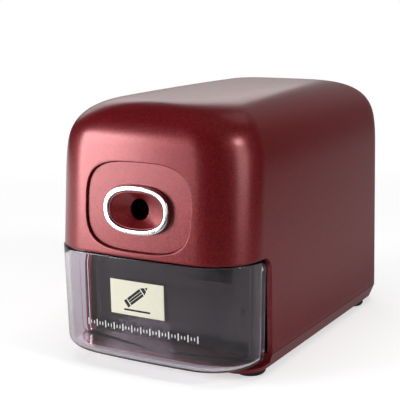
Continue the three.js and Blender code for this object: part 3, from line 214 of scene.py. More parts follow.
# A rounded plan outline. u runs from -5 to 5 and is 0 at the front's middle; its size counts through
# the bowed front, the front corner's arc, the straight side, the rear corner's arc and the rear.
def planPoint(u, half, front, rear, frontRadius, rearRadius, bow):
    t = np.abs(u)
    lean = np.arctan(2 * bow * (half - frontRadius) / half ** 2)
    arcEnd = half - frontRadius * (1 - np.sin(lean))
    centre = front + bowed(arcEnd, half, bow) + frontRadius * np.cos(lean)
    turn = lean + np.clip(t - 1, 0, 1) * (np.pi / 2 - lean)
    rearTurn = np.clip(t - 3, 0, 1) * np.pi / 2
    parts = [t <= 1, t <= 2, t <= 3, t <= 4]
    x = np.select(parts, [t * arcEnd, half - frontRadius * (1 - np.sin(turn)), half + 0 * t,
                          half - rearRadius * (1 - np.cos(rearTurn))], (half - rearRadius) * (5 - t))
    y = np.select(parts, [front + bowed(t * arcEnd, half, bow), centre - frontRadius * np.cos(turn),
                          centre + (t - 2) * (rear - rearRadius - centre),
                          rear - rearRadius * (1 - np.sin(rearTurn))], rear + 0 * t)
    return np.sign(u) * x, y


def housingPlan(u, z):
    e = enclosure
    half = halfAt(z) - rounding(z, "sideEdge")
    front = frontAt(np.maximum(z, e["parting"])) + rounding(z, "frontEdge")
    rear = e["depth"] - slope(e["rearDraft"]) * (z - e["parting"]) - rounding(z, "rearEdge")
    corners = [np.minimum(e[key], half * e["cornerLimit"]) for key in ("frontCorner", "rearCorner")]
    return planPoint(u, half, front, rear, *corners, e["frontBow"])


# Lifts the roof's middle: crown * raised * (1 - (x/half)^2) * (1 - ((y - middle)/middle)^2), where
# raised grows from 0 to 1 over the height of the side's edge, with its square.
def crowned(points):
    x, y, z = points.T
    size = enclosure["sideEdge"][0]
    middle = enclosure["depth"] / 2
    raised = np.clip(1 + (z - enclosure["height"]) / size, 0, 1) ** 2
    lift = raised * (1 - (x / enclosure["halfWidth"]) ** 2) * (1 - ((y - middle) / middle) ** 2)
    return np.stack([x, y, z + enclosure["crown"] * lift], axis=1)


panel = {
    "middle": 76.5, "half": (26.6, 19.3), "power": 3.3, "gap": 0.3, "recess": 2, "thickness": 1.6,
    "edge": 0.3, "clearance": 0.14, "axis": 75.4, "hole": 4.75, "funnelDepth": 3.7, "throat": 0.15,
    "ringOuter": (16.5, 10.5), "ringInner": (14.3, 8.5), "ringPower": 2.45, "ringStandout": 2.7,
    "seat": 0.15, "seatEdge": 0.3, "seatDepth": 0.8,  # the ring's seat: gap round it, edge, depth
    "mouth": -0.15,  # how far the mouth's outside lies outside the ring's inner oval
    "lip": 0.42, "lipTop": -0.3,  # radius of the mouth's edge, and its depth
    "points": 160, "edgeSteps": 6, "seatSteps": 5, "lipSteps": 9,
    "face": (0.03, 0.2, 0.4, 0.6, 0.8, 0.97),  # shares of the way from the edge to the ring's seat
    "funnel": (0.02, 0.15, 0.3, 0.45, 0.6, 0.75, 0.88, 0.96, 1),  # and down the funnel
}


# The point of a superellipse in a given direction: radius = (|cos/a|^p + |sin/b|^p)^(-1/p).
def ovalPoint(angle, halves, power=2, middle=None):
    a, b = halves
    radius = (np.abs(np.cos(angle) / a) ** power + np.abs(np.sin(angle) / b) ** power) ** (-1 / power)
    middle = panel["middle"] if middle is None else middle
    return radius * np.cos(angle), middle + radius * np.sin(angle)


def panelOval(angle, margin):
    a, b = panel["half"]
    return ovalPoint(angle, (a + margin, b + margin), panel["power"])


def frontSurface(x, z):
    half = halfAt(z) - rounding(z, "sideEdge")
    return frontAt(z) + rounding(z, "frontEdge") + bowed(x, half, enclosure["frontBow"])


housing = {
    "edge": 0.4,  # radius of the shell's open edges
    "frontSteps": 16, "cornerSteps": 26, "arcSteps": 10, "sideSteps": 40, "rearCornerSteps": 10,
    "rearColumns": (0.1, 0.3, 0.45, 0.67, 0.84, 0.92, 1),  # shares of the way to the rear's middle
    "pastCorner": 0.01,  # how far behind the bay's corner the columns reach down to the base
    "inletRows": ((12.5, 15), (20.5, 24, 27.5), (34, 38, 42, 46, 50, 52.5)),  # below, beside, over it
    "blockFrom": 0.7,  # how far over the parting line the block for the front panel's pocket starts
    "underVents": 58, "overVents": (88, 90.5, 93, 95.5, 98),  # heights of rows
    "roofFrom": 100, "roofSteps": 36, "capSteps": 16,
    "vents": {"half": 17, "height": 2.4, "pitch": 5.2, "lowest": 62, "count": 5},
    "inlet": {"x": -22, "z": 24, "half": (10.8, 5.8)},
    "guideHole": 6.85,
}


def partingPlan():
    return (enclosure["halfWidth"], 0.0, enclosure["depth"], enclosure["frontCorner"],
            enclosure["rearCorner"], enclosure["frontBow"])


# The outer skin as one grid of heights and places round the plan. Each column starts at the lower
# edge: the parting line in front, the bay's rounded corner, and the base's top further back. The
# cells at the front panel's pocket, the vents and the mains inlet are left out.
def housingSurface():
    h, edge = housing, housing["edge"]
    parting = enclosure["parting"] + edge
    base = enclosure["baseTop"] + edge
    radius = enclosure["bayCorner"] + edge
    cornerY = enclosure["bayDepth"] - enclosure["bayCorner"]
    cornerZ = enclosure["parting"] - enclosure["bayCorner"]
    sideStart = planPoint(2.0, *partingPlan())[1]
    sideEnd = planPoint(3.0, *partingPlan())[1]
    turns = np.linspace(0, np.pi / 2, h["arcSteps"] + 1)
    behind = np.linspace(cornerY + radius + h["pastCorner"], sideEnd, h["sideSteps"])[:-1]
    sideY = np.concatenate([cornerY + radius * np.sin(turns), behind])
    sideLow = np.concatenate([cornerZ + radius * np.cos(turns), np.full(len(behind), base)])
    t = [np.linspace(0, 1, h["frontSteps"]), np.linspace(1, 2, h["cornerSteps"])[1:],
         2 + (sideY - sideStart) / (sideEnd - sideStart), np.linspace(3, 4, h["rearCornerSteps"])]
    vents, inlet = h["vents"], h["inlet"]
    rearHalf = enclosure["halfWidth"] - enclosure["rearCorner"]
    lowHalf = halfAt(inlet["z"]) - enclosure["rearCorner"]
    slotEdge = 1 - (vents["half"] + edge) / rearHalf
    inletEdges = [1 - (-inlet["x"] + side * (inlet["half"][0] + edge)) / lowHalf for side in (1, -1)]
    t.append(4 + np.sort(np.array([*h["rearColumns"], slotEdge, *inletEdges])))
    low = np.concatenate([np.full(len(t[0]) + len(t[1]), parting), sideLow,
                          np.full(len(t[3]) + len(t[4]), base)])
    t = np.concatenate(t)
    u = np.concatenate([-t[:0:-1], t])
    low = np.concatenate([low[:0:-1], low])

    inletLow, inletHigh = (inlet["z"] + side * (inlet["half"][1] + edge) for side in (-1, 1))
    under, beside, over = h["inletRows"]
    lower = np.array([base, *under, inletLow, *beside, inletHigh, *over])
    slots = [vents["lowest"] + vents["pitch"] * i for i in range(vents["count"])]
    slotRows = [z + side for z in slots for side in (-edge, vents["height"] + edge)]
    underSlots = [parting, parting + h["blockFrom"], h["underVents"]]
    straight = np.array([*underSlots, *slotRows, *h["overVents"], h["roofFrom"]])
    turn = np.linspace(0, np.pi / 2, h["roofSteps"])[1:]
    roofEdge = h["roofFrom"] + (enclosure["height"] - h["roofFrom"]) * np.sin(turn)
    upper = np.concatenate([straight, roofEdge])
    share = (lower - base) / (parting - base)
    z = np.vstack([low[None, :] + share[:, None] * (parting - low[None, :]),
                   np.tile(upper[:, None], len(u))])
    x, y = housingPlan(np.tile(u, (len(z), 1)), z)
    roof = np.linspace(1, 0, h["capSteps"])[1:, None]
    middle = enclosure["depth"] / 2
    x = np.vstack([x, x[-1] * roof])
    y = np.vstack([y, middle + (y[-1] - middle) * roof])
    z = np.vstack([z, np.tile(z[-1], (len(roof), 1))])
    points = np.stack([x, y, z], axis=-1)

    keep = np.ones((len(z) - 1, len(u) - 1), dtype=bool)
    uMiddle = (u[1:] + u[:-1]) / 2
    first = len(lower) + 1
    last = len(lower) + len(straight) - 1
    keep[first:last, np.abs(uMiddle) < 1] = False
    slotCells = len(lower) + len(underSlots) + 2 * np.arange(vents["count"])
    keep[np.ix_(slotCells, np.abs(uMiddle) > 4 + slotEdge)] = False
    inletRow = 1 + len(under)
    inletCells = slice(inletRow, inletRow + 1 + len(beside))
    keep[inletCells, (uMiddle < -4 - inletEdges[0]) & (uMiddle > -4 - inletEdges[1])] = False
    inFront = np.nonzero(np.abs(u) <= 1)[0]
    block = np.concatenate([points[first, inFront], points[first + 1:last, inFront[-1]],
                            points[last, inFront[::-1]], points[last - 1:first:-1, inFront[0]]])
    return points.reshape(-1, 3), gridFaces(len(z), len(u), keep=keep), block


# Where the rings lie, as shares of each stretch of the way, and how thick the wall is there.
pocket = {
    "border": (0.3, 0.6, 0.82, 1), "edgeSteps": 6, "side": (0.4, 0.9, 1), "floor": (0.05, 0.3, 0.65, 1),
    "rimWall": 0.8, "sideWall": 0.45, "floorWall": 1.6,
}


# Rings from the block's border to the pocket's rim, over its rounded edge, down its wall and in over
# its floor to the guide's hole. Each ring has one point in the direction of each border point.
def pocketSurface(block):
    angle = np.arctan2(block[:, 2] - panel["middle"], block[:, 0])
    gap, edge = panel["gap"], panel["edge"]
    rings = [block]
    rimX, rimZ = panelOval(angle, gap + edge)
    for share in pocket["border"]:
        x, z = block[:, 0] + share * (rimX - block[:, 0]), block[:, 2] + share * (rimZ - block[:, 2])
        rings.append(np.stack([x, frontSurface(x, z), z], axis=1))
    for turn in np.linspace(0, np.pi / 2, pocket["edgeSteps"])[1:]:
        x, z = panelOval(angle, gap + edge * (1 - np.sin(turn)))
        rings.append(np.stack([x, frontSurface(x, z) + edge * (1 - np.cos(turn)), z], axis=1))
    floor = panel["recess"] + panel["thickness"] + panel["gap"]
    wallX, wallZ = panelOval(angle, gap)
    for share in pocket["side"]:
        y = (1 - share) * (frontSurface(wallX, wallZ) + edge) + share * (frontAt(wallZ) + floor)
        rings.append(np.stack([wallX, y, wallZ], axis=1))
    holeX, holeZ = ovalPoint(angle, (housing["guideHole"] + housing["edge"],) * 2, middle=panel["axis"])
    for share in pocket["floor"]:
        x, z = wallX + share * (holeX - wallX), wallZ + share * (holeZ - wallZ)
        rings.append(np.stack([x, frontAt(z) + floor, z], axis=1))
    sides = pocket["edgeSteps"] - 1 + len(pocket["side"])
    walls = np.repeat([enclosure["wall"], pocket["rimWall"], pocket["sideWall"], pocket["floorWall"]],
                      np.array([len(pocket["border"]), 1, sides, len(pocket["floor"])]) * len(angle))
    return np.vstack(rings), gridFaces(len(rings), len(angle), closeColumns=True), walls


def makeHousing(material):
    skin, skinQuads, block = housingSurface()
    pocketSkin, pocketQuads, pocketWalls = pocketSurface(block)
    points, quads = joined([(skin, skinQuads), (pocketSkin, pocketQuads)])
    walls = np.concatenate([np.full(len(skin), enclosure["wall"]), pocketWalls])
    first, quads = welded(points, quads)
    used, ids = np.unique(quads, return_inverse=True)
    first, quads = first[used], ids.reshape(quads.shape)
    points, quads = shell(crowned(points[first]), quads, walls[first], housing["edge"])
    makePiece("housing", points, quads, material, "housing", "red_metallic", "housing_shell")


# Wraps a socket so that + - * / and comparisons add Math nodes to its tree.
class Sock:
    def __init__(self, tree, socket):
        self.tree, self.socket = tree, socket

    def math(self, operation, *others):
        node = self.tree.nodes.new("ShaderNodeMath")
        node.operation = operation
        for place, value in zip(node.inputs, (self, *others)):
            connect(self.tree, place, value)
        return Sock(self.tree, node.outputs[0])

    def __add__(self, other): return self.math("ADD", other)
    def __radd__(self, other): return self.math("ADD", other)
    def __sub__(self, other): return self.math("SUBTRACT", other)
    def __mul__(self, other): return self.math("MULTIPLY", other)
    def __truediv__(self, other): return self.math("DIVIDE", other)
    def __lt__(self, other): return self.math("LESS_THAN", other)
    def __gt__(self, other): return self.math("GREATER_THAN", other)
    def __pow__(self, other): return self.math("POWER", other)
    def __rsub__(self, other): return (self * -1).math("ADD", other)
    def size(self): return self.math("ABSOLUTE")
    def least(self, other): return self.math("MINIMUM", other)
    def most(self, other): return self.math("MAXIMUM", other)


def connect(tree, place, value):
    if isinstance(value, Sock):
        tree.links.new(value.socket, place)
    else:
        place.default_value = value


# A material with one Principled shader; node() adds any other node.
class Material:
    def __init__(self, name, **sockets):
        self.data = bpy.data.materials.new(name)
        self.data.use_nodes = True
        self.tree = self.data.node_tree
        self.shader = self.tree.nodes["Principled BSDF"]
        self.set(**sockets)

    # Any node: its settings, the output that is wanted, and the values or links of its sockets.
    def node(self, kind, settings=None, output=0, **sockets):
        node = self.tree.nodes.new(kind)
        for key, value in (settings or {}).items():
            setattr(node, key, value)
        for key, value in sockets.items():
            connect(self.tree, named(node.inputs, key), value)
        return Sock(self.tree, node.outputs[output])

    def set(self, **sockets):
        for key, value in sockets.items():
            connect(self.tree, named(self.shader.inputs, key), value)

    def place(self):
        return self.node("ShaderNodeTexCoord", output="Object")

    def parts(self, vector):
        split = self.tree.nodes.new("ShaderNodeSeparateXYZ")
        connect(self.tree, split.inputs[0], vector)
        return [Sock(self.tree, out) for out in split.outputs]

    def mix(self, factor, first, second):
        return self.node("ShaderNodeMix", {"data_type": "RGBA"}, 2, input0=factor, input6=first,
                         input7=second)

    def bump(self, height, strength, distance):
        return self.node("ShaderNodeBump", Height=height, Strength=strength, Distance=distance)

    # The main shader at factor 0, the other one at factor 1.
    def mixShader(self, factor, other):
        main = Sock(self.tree, self.shader.outputs[0])
        blend = self.node("ShaderNodeMixShader", input0=factor, input1=main, input2=other)
        connect(self.tree, self.tree.nodes["Material Output"].inputs[0], blend)


# Finds a socket by its label with the spaces left out, or by its number as in input0.
def named(inputs, key):
    if key.startswith("input"):
        return inputs[int(key[5:])]
    return next(socket for socket in inputs if socket.name.replace(" ", "") == key and socket.enabled)


# A colour given as 0 to 255 on a screen, in the linear values that a shader wants: c / 12.92 for a
# dark c and ((c + 0.055) / 1.055) ^ 2.4 for the rest, with c from 0 to 1.
def rgb(*screen):
    linear = [c / 255 / 12.92 if c <= 10 else ((c / 255 + 0.055) / 1.055) ** 2.4 for c in screen]
    return (*linear, 1)


# Rings of a closed tube: each ring is (x, z, depth behind the leaning front plane). The last ring
# joins the first one, and a surface of revolution needs no caps.
def leaned(rings):
    rows = [np.stack([x, frontAt(z) + depth, z], axis=1) for x, z, depth in rings]
    return np.vstack(rows), gridFaces(len(rows), len(rows[0]), closeRows=True, closeColumns=True)


def around(count):
    return np.linspace(0, 2 * np.pi, count + 1)[:-1]


# The panel in one closed skin: out over its back, over the rounded edge, in over the face, down the
# ring's seat, over the mouth's half-round lip, down the funnel and back through the hole.
def makePanel(material):
    p = panel
    angle = around(panel["points"])
    face, back, lip = p["recess"], p["recess"] + p["thickness"], p["lip"]

    def oval(halves, margin):
        return ovalPoint(angle, (halves[0] + margin, halves[1] + margin), p["ringPower"], p["axis"])

    hole = ovalPoint(angle, (p["hole"],) * 2, middle=p["axis"])
    fit, edge = p["gap"] - p["clearance"], p["edge"]
    rings = [(*hole, back), (*panelOval(angle, fit - edge), back),
             (*panelOval(angle, fit), back - edge)]
    for turn in np.linspace(0, np.pi / 2, p["edgeSteps"]):
        rings.append((*panelOval(angle, fit - edge * (1 - np.cos(turn))),
                      face + edge * (1 - np.sin(turn))))
    seat, seatEdge = p["seat"], p["seatEdge"]
    faceX, faceZ = panelOval(angle, fit - edge)
    seatX, seatZ = oval(p["ringOuter"], seat + seatEdge)
    for share in p["face"]:
        rings.append((faceX + share * (seatX - faceX), faceZ + share * (seatZ - faceZ), face))
    for turn in np.linspace(0, np.pi / 2, p["seatSteps"]):
        rings.append((*oval(p["ringOuter"], seat + seatEdge * (1 - np.sin(turn))),
                      face + seatEdge * (1 - np.cos(turn))))
    rings.append((*oval(p["ringOuter"], seat), face + p["seatDepth"]))
    rings.append((*oval(p["ringInner"], p["mouth"]), face + p["seatDepth"]))
    for turn in np.linspace(0, np.pi, p["lipSteps"]):
        rings.append((*oval(p["ringInner"], p["mouth"] - lip + lip * np.cos(turn)),
                      p["lipTop"] + lip * (1 - np.sin(turn))))
    mouth = oval(p["ringInner"], p["mouth"] - 2 * lip)
    start, end = p["lipTop"] + lip, face - p["ringStandout"] + p["funnelDepth"]
    for share in p["funnel"]:
        rings.append((mouth[0] + share * (hole[0] - mouth[0]), mouth[1] + share * (hole[1] - mouth[1]),
                      start + share * (end - start)))
    rings.append((*hole, end + p["throat"]))
    points, quads = leaned(rings)
    makePiece("frontPanel", points, quads, material, "housing", "red_metallic", "front_panel")


# The chrome ring: a flat back, straight flanks and a domed front, whose profile is a superellipse
# |across|^power + |height|^power = 1 between the inner and the outer oval.
ring = {"dome": 0.45, "power": 4.5, "back": 2.65, "steps": 40}


def makeRing(material):
    angle = around(panel["points"])
    front = panel["recess"] - panel["ringStandout"]
    turn = np.linspace(0, np.pi, ring["steps"])
    across = np.sign(np.cos(turn)) * np.abs(np.cos(turn)) ** (2 / ring["power"])
    height = np.sin(turn) ** (2 / ring["power"])
    across = np.concatenate([[1], across, [-1]])
    depth = np.concatenate([[ring["back"]], front + ring["dome"] * (1 - height), [ring["back"]]])
    rings = []
    for a, d in zip(across, depth):
        halves = [(i + o) / 2 + a * (o - i) / 2 for i, o in zip(panel["ringInner"], panel["ringOuter"])]
        rings.append((*ovalPoint(angle, halves, panel["ringPower"], panel["axis"]), d))
    points, quads = leaned(rings)
    makePiece("bezelRing", points, quads, material, "housing", "chrome", "bezel_ring")


drawer = {
    "top": 54.0, "bottom": 5.36, "wall": 2, "side": 26, "narrower": 5, "bottomRadius": 5.4,
    "standout": 0.43, "taper": 0.8, "cornerArc": 5, "cornerAt": 45.6, "shoulderEdge": 0.8, "tubEdge": 2,
    "rim": 0.45, "rimLevel": 50.0, "notchHalf": 17.5, "notchLow": 44, "floorMiddle": 17,
    "pastCut": 0.005,  # how far outside a step of the rim the column before it stands
    "cutSlack": 0.002,  # how far outside a step a point still counts as inside it
    "rise": (0.1, 0.2, 0.3, 0.4, 0.5, 0.6, 0.7, 0.8, 0.9, 1),  # shares of the way up the wall
    "across": (0, 0.25, 0.5, 0.75, 0.92), "bendSteps": 10, "rimSteps": 5,
    # the plan's stretches: first column, last column, how many; the rim has a step just over 5 and 9
    "columns": ((0, 1, 18), (1, 2, 24), (2, 3, 12), (3, 4, 5), (4, 5, 3), (5.0001, 6, 2), (6, 7, 4),
                (7, 8, 5), (8, 9, 8), (9.0001, 9.4, 2), (9.4, 9.8, 2), (9.8, 10, 2)),
}


def drawerLean(z):
    d = drawer
    parting = enclosure["parting"]
    return d["taper"] * (parting - z) / (parting - d["bottom"]) - d["standout"]


# One level of the drawer's wall at height z, drawn in by the lean and by the bottom's quarter circle.
# t counts along half of the plan: the bowed front, the corner, the side, the shoulder's rounded edge,
# the shoulder outside and inside the corner cut, the tub's side, its corner, the rear, the notch.
def drawerPlan(t, z, inset):
    d, radius = drawer, drawer["bottomRadius"] - inset
    below = np.clip(1 - (z - d["bottom"] - inset) / radius, 0, 1)
    drawn = drawerLean(z) + inset + radius * (1 - np.sqrt(1 - below ** 2))
    half, bow = enclosure["halfWidth"] - drawn, enclosure["frontBow"]
    corner = enclosure["frontCorner"] - inset
    lean = np.arctan(2 * bow * (half - corner) / half ** 2)
    arcEnd = half - corner * (1 - np.sin(lean))
    centre = drawn + bowed(arcEnd, half, bow) + corner * np.cos(lean)
    turn = lean + np.clip(t - 1, 0, 1) * (np.pi / 2 - lean)
    side, rear, tub = d["side"] - inset, drawerRear - inset, half - d["narrower"]
    edge, tubEdge, cut, notch = d["shoulderEdge"], d["tubEdge"], d["cornerAt"], d["notchHalf"]
    edgeTurn, tubTurn = (np.clip(t - start, 0, 1) * np.pi / 2 for start in (3, 7))
    parts = [t <= last for last in range(1, 10)]
    x = np.select(parts, [
        t * arcEnd, half - corner * (1 - np.sin(turn)), half, half - edge * (1 - np.cos(edgeTurn)),
        half - edge + (t - 4) * (cut + d["pastCut"] - half + edge), cut + (t - 5) * (tub - cut), tub,
        tub - tubEdge * (1 - np.cos(tubTurn)),
        tub - tubEdge + (t - 8) * (notch + d["pastCut"] - tub + tubEdge),
    ], notch * (10 - t))
    y = np.select(parts, [
        drawn + bowed(t * arcEnd, half, bow), centre - corner * np.cos(turn),
        centre + (t - 2) * (side - edge - centre), side - edge * (1 - np.sin(edgeTurn)), side, side,
        side + (t - 6) * (rear - tubEdge - side), rear - tubEdge * (1 - np.sin(tubTurn)), rear,
    ], rear)
    return x, y


# How high the wall reaches: a quarter circle at the top rear of each side, and the notch in the rear.
def drawerTop(x, y):
    d = drawer
    past = np.clip(y - d["side"] + d["cornerArc"], 0, d["cornerArc"])
    arc = d["top"] - d["cornerArc"] + np.sqrt(d["cornerArc"] ** 2 - past ** 2)
    top = np.where(np.abs(x) > d["cornerAt"] + d["cutSlack"], arc, d["top"])
    inNotch = (np.abs(x) < d["notchHalf"] + d["cutSlack"]) & (y > d["side"])
    return np.where(inNotch, d["notchLow"], top)


# The drawer's skin at one inset: rows from the middle of the floor outwards, round the bottom's
# quarter circle and up to just under the rim. The rim's height at each column comes with it.
def drawerSkin(t, sign, inset):
    d = drawer
    radius = d["bottomRadius"] - inset
    turn = np.linspace(0, np.pi / 2, d["bendSteps"])
    bend = d["bottom"] + inset + radius * (1 - np.cos(turn))
    limit = drawerTop(*drawerPlan(t, np.full(len(t), d["rimLevel"]), inset))
    rise, across = (np.array(d[key])[:, None] for key in ("rise", "across"))
    z = np.vstack([np.tile(bend[:, None], len(t)), bend[-1] + rise * (limit - d["rim"] - bend[-1])])
    x, y = drawerPlan(np.tile(t, (len(z), 1)), z, inset)
    x = x * sign
    x = np.vstack([x[0] * across, x])
    y = np.vstack([d["floorMiddle"] + (y[0] - d["floorMiddle"]) * across, y])
    z = np.vstack([np.tile(z[0], (len(across), 1)), z])
    return np.stack([x, y, z], axis=-1), limit


# The outer skin, the rim's two quarter circles and the inner skin in one closed surface.
def makeDrawer(material):
    t = np.unique(np.concatenate([np.linspace(*stretch) for stretch in drawer["columns"]]))
    sign = np.concatenate([np.ones(len(t)), -np.ones(len(t) - 2)])
    t = np.concatenate([t, t[-2:0:-1]])
    outer, limit = drawerSkin(t, sign, 0)
    inner, innerLimit = drawerSkin(t, sign, drawer["wall"])
    top = np.array(outer[-1]), np.array(inner[-1])
    top[0][:, 2], top[1][:, 2] = limit, innerLimit
    across = top[1] - top[0]
    reach = drawer["rim"] / np.linalg.norm(across, axis=1, keepdims=True)
    turns = np.linspace(0, np.pi / 2, drawer["rimSteps"])
    rows = []
    for edge, way, order in ((top[0], 1, turns[1:]), (top[1], -1, turns[:0:-1])):
        for turn in order:
            row = edge + way * across * reach * (1 - np.cos(turn))
            row[:, 2] -= drawer["rim"] * (1 - np.sin(turn))
            rows.append(row)
    grid = np.vstack([outer, np.array(rows), inner[::-1]])
    points = grid.reshape(-1, 3)
    first, quads = welded(points, gridFaces(len(grid), len(t), closeColumns=True))
    makePiece("clearDrawer", points[first], quads, material, "drawer", "smoky_clear", "drawer")


def drawerFront(x, z):
    return drawerLean(z) + bowed(x, enclosure["halfWidth"], enclosure["frontBow"])


label = {"width": 27.6, "height": 15.7, "middle": (0.6, 36.3), "thickness": 0.25, "glue": 0.08,
         "edge": 0.06, "columns": 29, "rows": 17, "edgeSteps": 2}


# A sheet that follows the drawer's front: depth = the front's at (x, z) less the standout.
def makeLabel(material):
    (middleX, middleZ), standout = label["middle"], label["thickness"] + label["glue"]
    x = middleX + np.linspace(-0.5, 0.5, label["columns"]) * (label["width"] - 2 * label["edge"])
    z = middleZ + np.linspace(-0.5, 0.5, label["rows"]) * (label["height"] - 2 * label["edge"])
    x, z = np.meshgrid(x, z)
    points = np.stack([x, drawerFront(x, z) - standout, z], axis=-1).reshape(-1, 3)
    points, quads = shell(points, gridFaces(label["rows"], label["columns"]), label["thickness"],
                          label["edge"], label["edgeSteps"])
    makePiece("drawerLabel", points, quads, material, "drawer", "label_cream", "drawer_label")


# A printed row of fine white strokes along the drawer, in turn one long one and two short ones.
strokes = {"from": -26.4, "to": 30.4, "count": 37, "height": 22.1, "ink": 0.03, "glue": 0.02,
           "halfTall": (1.6, 0.75, 0.75), "halfWide": (0.3, 0.24, 0.24)}


# Each stroke is a thin box whose corners follow the drawer's front.
def makeStrokes(material):
    s = strokes
    at = np.linspace(s["from"], s["to"], s["count"])
    tall, wide = (np.resize(s[key], s["count"]) for key in ("halfTall", "halfWide"))
    corner = np.array([[-1, -1], [1, -1], [1, 1], [-1, 1]])
    x = at[:, None] + wide[:, None] * corner[None, :, 0]
    z = s["height"] + tall[:, None] * corner[None, :, 1]
    front = np.stack([x, drawerFront(x, z) - s["ink"] - s["glue"], z], axis=-1)
    back = front + np.array([0, s["ink"], 0])
    points = np.concatenate([front, back], axis=1).reshape(-1, 3)
    box = np.array([[0, 1, 2, 3], [7, 6, 5, 4], [0, 4, 5, 1], [1, 5, 6, 2], [2, 6, 7, 3], [3, 7, 4, 0]])
    quads = (np.arange(s["count"])[:, None, None] * 8 + box[None]).reshape(-1, 4)
    makePiece("drawerPrint", points, quads, material, "drawer", "label_cream", smooth=False)


flakeSize = 0.00042  # metres


# Satin lacquer over a moulded shell. Colour: from deep to light red by 0.7 * flake + 0.3 * cloud; the
# flakes and a fine orange peel make the bump, and a thin clear coat lies over them.
def redLacquer():
    m = Material("redLacquer", Metallic=0.4, CoatWeight=0.55, CoatRoughness=0.25, SpecularIORLevel=0.5)
    place = m.place()
    cell = m.node("ShaderNodeVectorMath", {"operation": "SNAP"}, input0=place, input1=(flakeSize,) * 3)
    flake = m.node("ShaderNodeTexWhiteNoise", Vector=cell)
    cloud = m.node("ShaderNodeTexNoise", Vector=place, Scale=1100, Detail=2)
    tone = flake * 0.7 + cloud * 0.3
    m.set(BaseColor=m.mix(tone, rgb(98, 8, 12), rgb(156, 30, 41)))
    peel = m.node("ShaderNodeTexNoise", Vector=place, Scale=1500, Detail=1)
    m.set(Roughness=0.28 + flake * 0.08, Normal=m.bump(peel + flake * 1.6, 0.3, 0.00005))
    return m.data


# Bright plating: nearly a mirror, a little duller where a cloud of fine wipe marks lies.
def chromePlate():
    m = Material("chromePlate", BaseColor=(0.95, 0.95, 0.95, 1), Metallic=1.0)
    wipe = m.node("ShaderNodeTexNoise", Vector=m.place(), Scale=140, Detail=4)
    m.set(Roughness=0.1 + (wipe - 0.45).most(0) * 0.25, Normal=m.bump(wipe, 0.02, 0.00002))
    return m.data


drawerTint = (0.8, 0.75, 0.81)
shadowThrough = 0.4  # the share of the light that the drawer's shadow lets through


# Smoky clear styrene: tinted in its body, with faint flow waves and wipe marks in its gloss. Its
# shadow is a pale one: for a shadow ray, a share of the material is clear.
def smokyClear():
    m = Material("smokyClear", BaseColor=(*drawerTint, 1), IOR=1.4, TransmissionWeight=1.0)
    place = m.place()
    waves = m.node("ShaderNodeTexNoise", Vector=place, Scale=22, Detail=1)
    wipe = m.node("ShaderNodeTexNoise", Vector=place, Scale=260, Detail=5)
    m.set(Roughness=0.02 + (wipe - 0.5).most(0) * 0.16,
          Normal=m.bump(waves + wipe * 0.005, 0.09, 0.0002))
    shadow = m.node("ShaderNodeLightPath", output="Is Shadow Ray")
    clear = m.node("ShaderNodeBsdfTransparent", Color=(*drawerTint, 1))
    m.mixShader(shadow * shadowThrough, clear)
    return m.data


# Moulded plastic or rubber. Colour: from dark to light by 0.7 * speckle + 0.3 * fine, two noises; the
# finer one varies the roughness and the bump too.
def moulded(name, dark, light, roughness, grain=2200, relief=0.25, cloud=90, shine=0.5):
    m = Material(name, SpecularIORLevel=shine)
    place = m.place()
    speckle = m.node("ShaderNodeTexNoise", Vector=place, Scale=cloud, Detail=5)
    fine = m.node("ShaderNodeTexNoise", Vector=place, Scale=grain, Detail=2)
    m.set(BaseColor=m.mix(speckle * 0.7 + fine * 0.3, dark, light),
          Roughness=roughness - 0.06 + fine * 0.12, Normal=m.bump(fine, relief, 0.00008))
    return m.data


# Bare metal: marks = noise drawn out along an axis of the piece, or even where stretch is. They vary
# the roughness and the bump, and half and half with a stain the colour.
def metal(name, dark, light, roughness, stretch=(40, 1600, 1600), relief=0.2):
    m = Material(name, Metallic=1.0)
    place = m.place()
    drawn = m.node("ShaderNodeVectorMath", {"operation": "MULTIPLY"}, input0=place, input1=stretch)
    marks = m.node("ShaderNodeTexNoise", Vector=drawn, Scale=1.0, Detail=3)
    stain = m.node("ShaderNodeTexNoise", Vector=place, Scale=120, Detail=4)
    m.set(BaseColor=m.mix(marks * 0.5 + stain * 0.5, dark, light),
          Roughness=roughness - 0.1 + marks * 0.2, Normal=m.bump(marks, relief, 0.00005))
    return m.data


windingPitch = 7000  # radians in a metre


# Varnished winding wire: bands = |sin((x + 0.3 * y + z) * pitch)| vary colour, roughness and bump.
def winding(name, dark, light):
    m = Material(name, Metallic=0.85)
    x, y, z = m.parts(m.place())
    bands = ((x + y * 0.3 + z) * windingPitch).math("SINE").size()
    m.set(BaseColor=m.mix(bands, dark, light), Roughness=0.3 + bands * 0.1,
          Normal=m.bump(bands, 0.6, 0.0002))
    return m.data


# Green board: copper tracks, where a brick of cells has its mortar, under the lacquer.
def boardGreen():
    m = Material("boardGreen", CoatWeight=0.4, CoatRoughness=0.15)
    place = m.place()
    tracks = m.node("ShaderNodeTexBrick", output=1, Vector=place, Scale=95, MortarSize=0.012,
                    MortarSmooth=0.2)
    weave = m.node("ShaderNodeTexNoise", Vector=place, Scale=1500, Detail=2)
    m.set(BaseColor=m.mix(tracks, rgb(18, 78, 48), rgb(64, 128, 72)),
          Roughness=0.42 + weave * 0.12, Normal=m.bump(tracks + weave * 0.2, 0.3, 0.00008))
    return m.data


picture = {
    "turn": 38, "scale": 0.62, "up": 1.4,  # degrees, drawing units in 1 mm, mm over the label's middle
    "half": 1.15, "body": (-3.1, 2.1), "line": (0.3, 0.42), "end": (-4.4, -3.4),
    "point": (2.4, 4.6), "slope": 0.52, "ring": (3.5, 3.75),
    "rule": (4.2, 0.42), "ruleDown": 5.4,  # half its length in drawing units; the rest in mm
}


# 1 where a value lies between two limits, else 0.
def between(value, limits):
    return (value > limits[0]) * (value < limits[1])


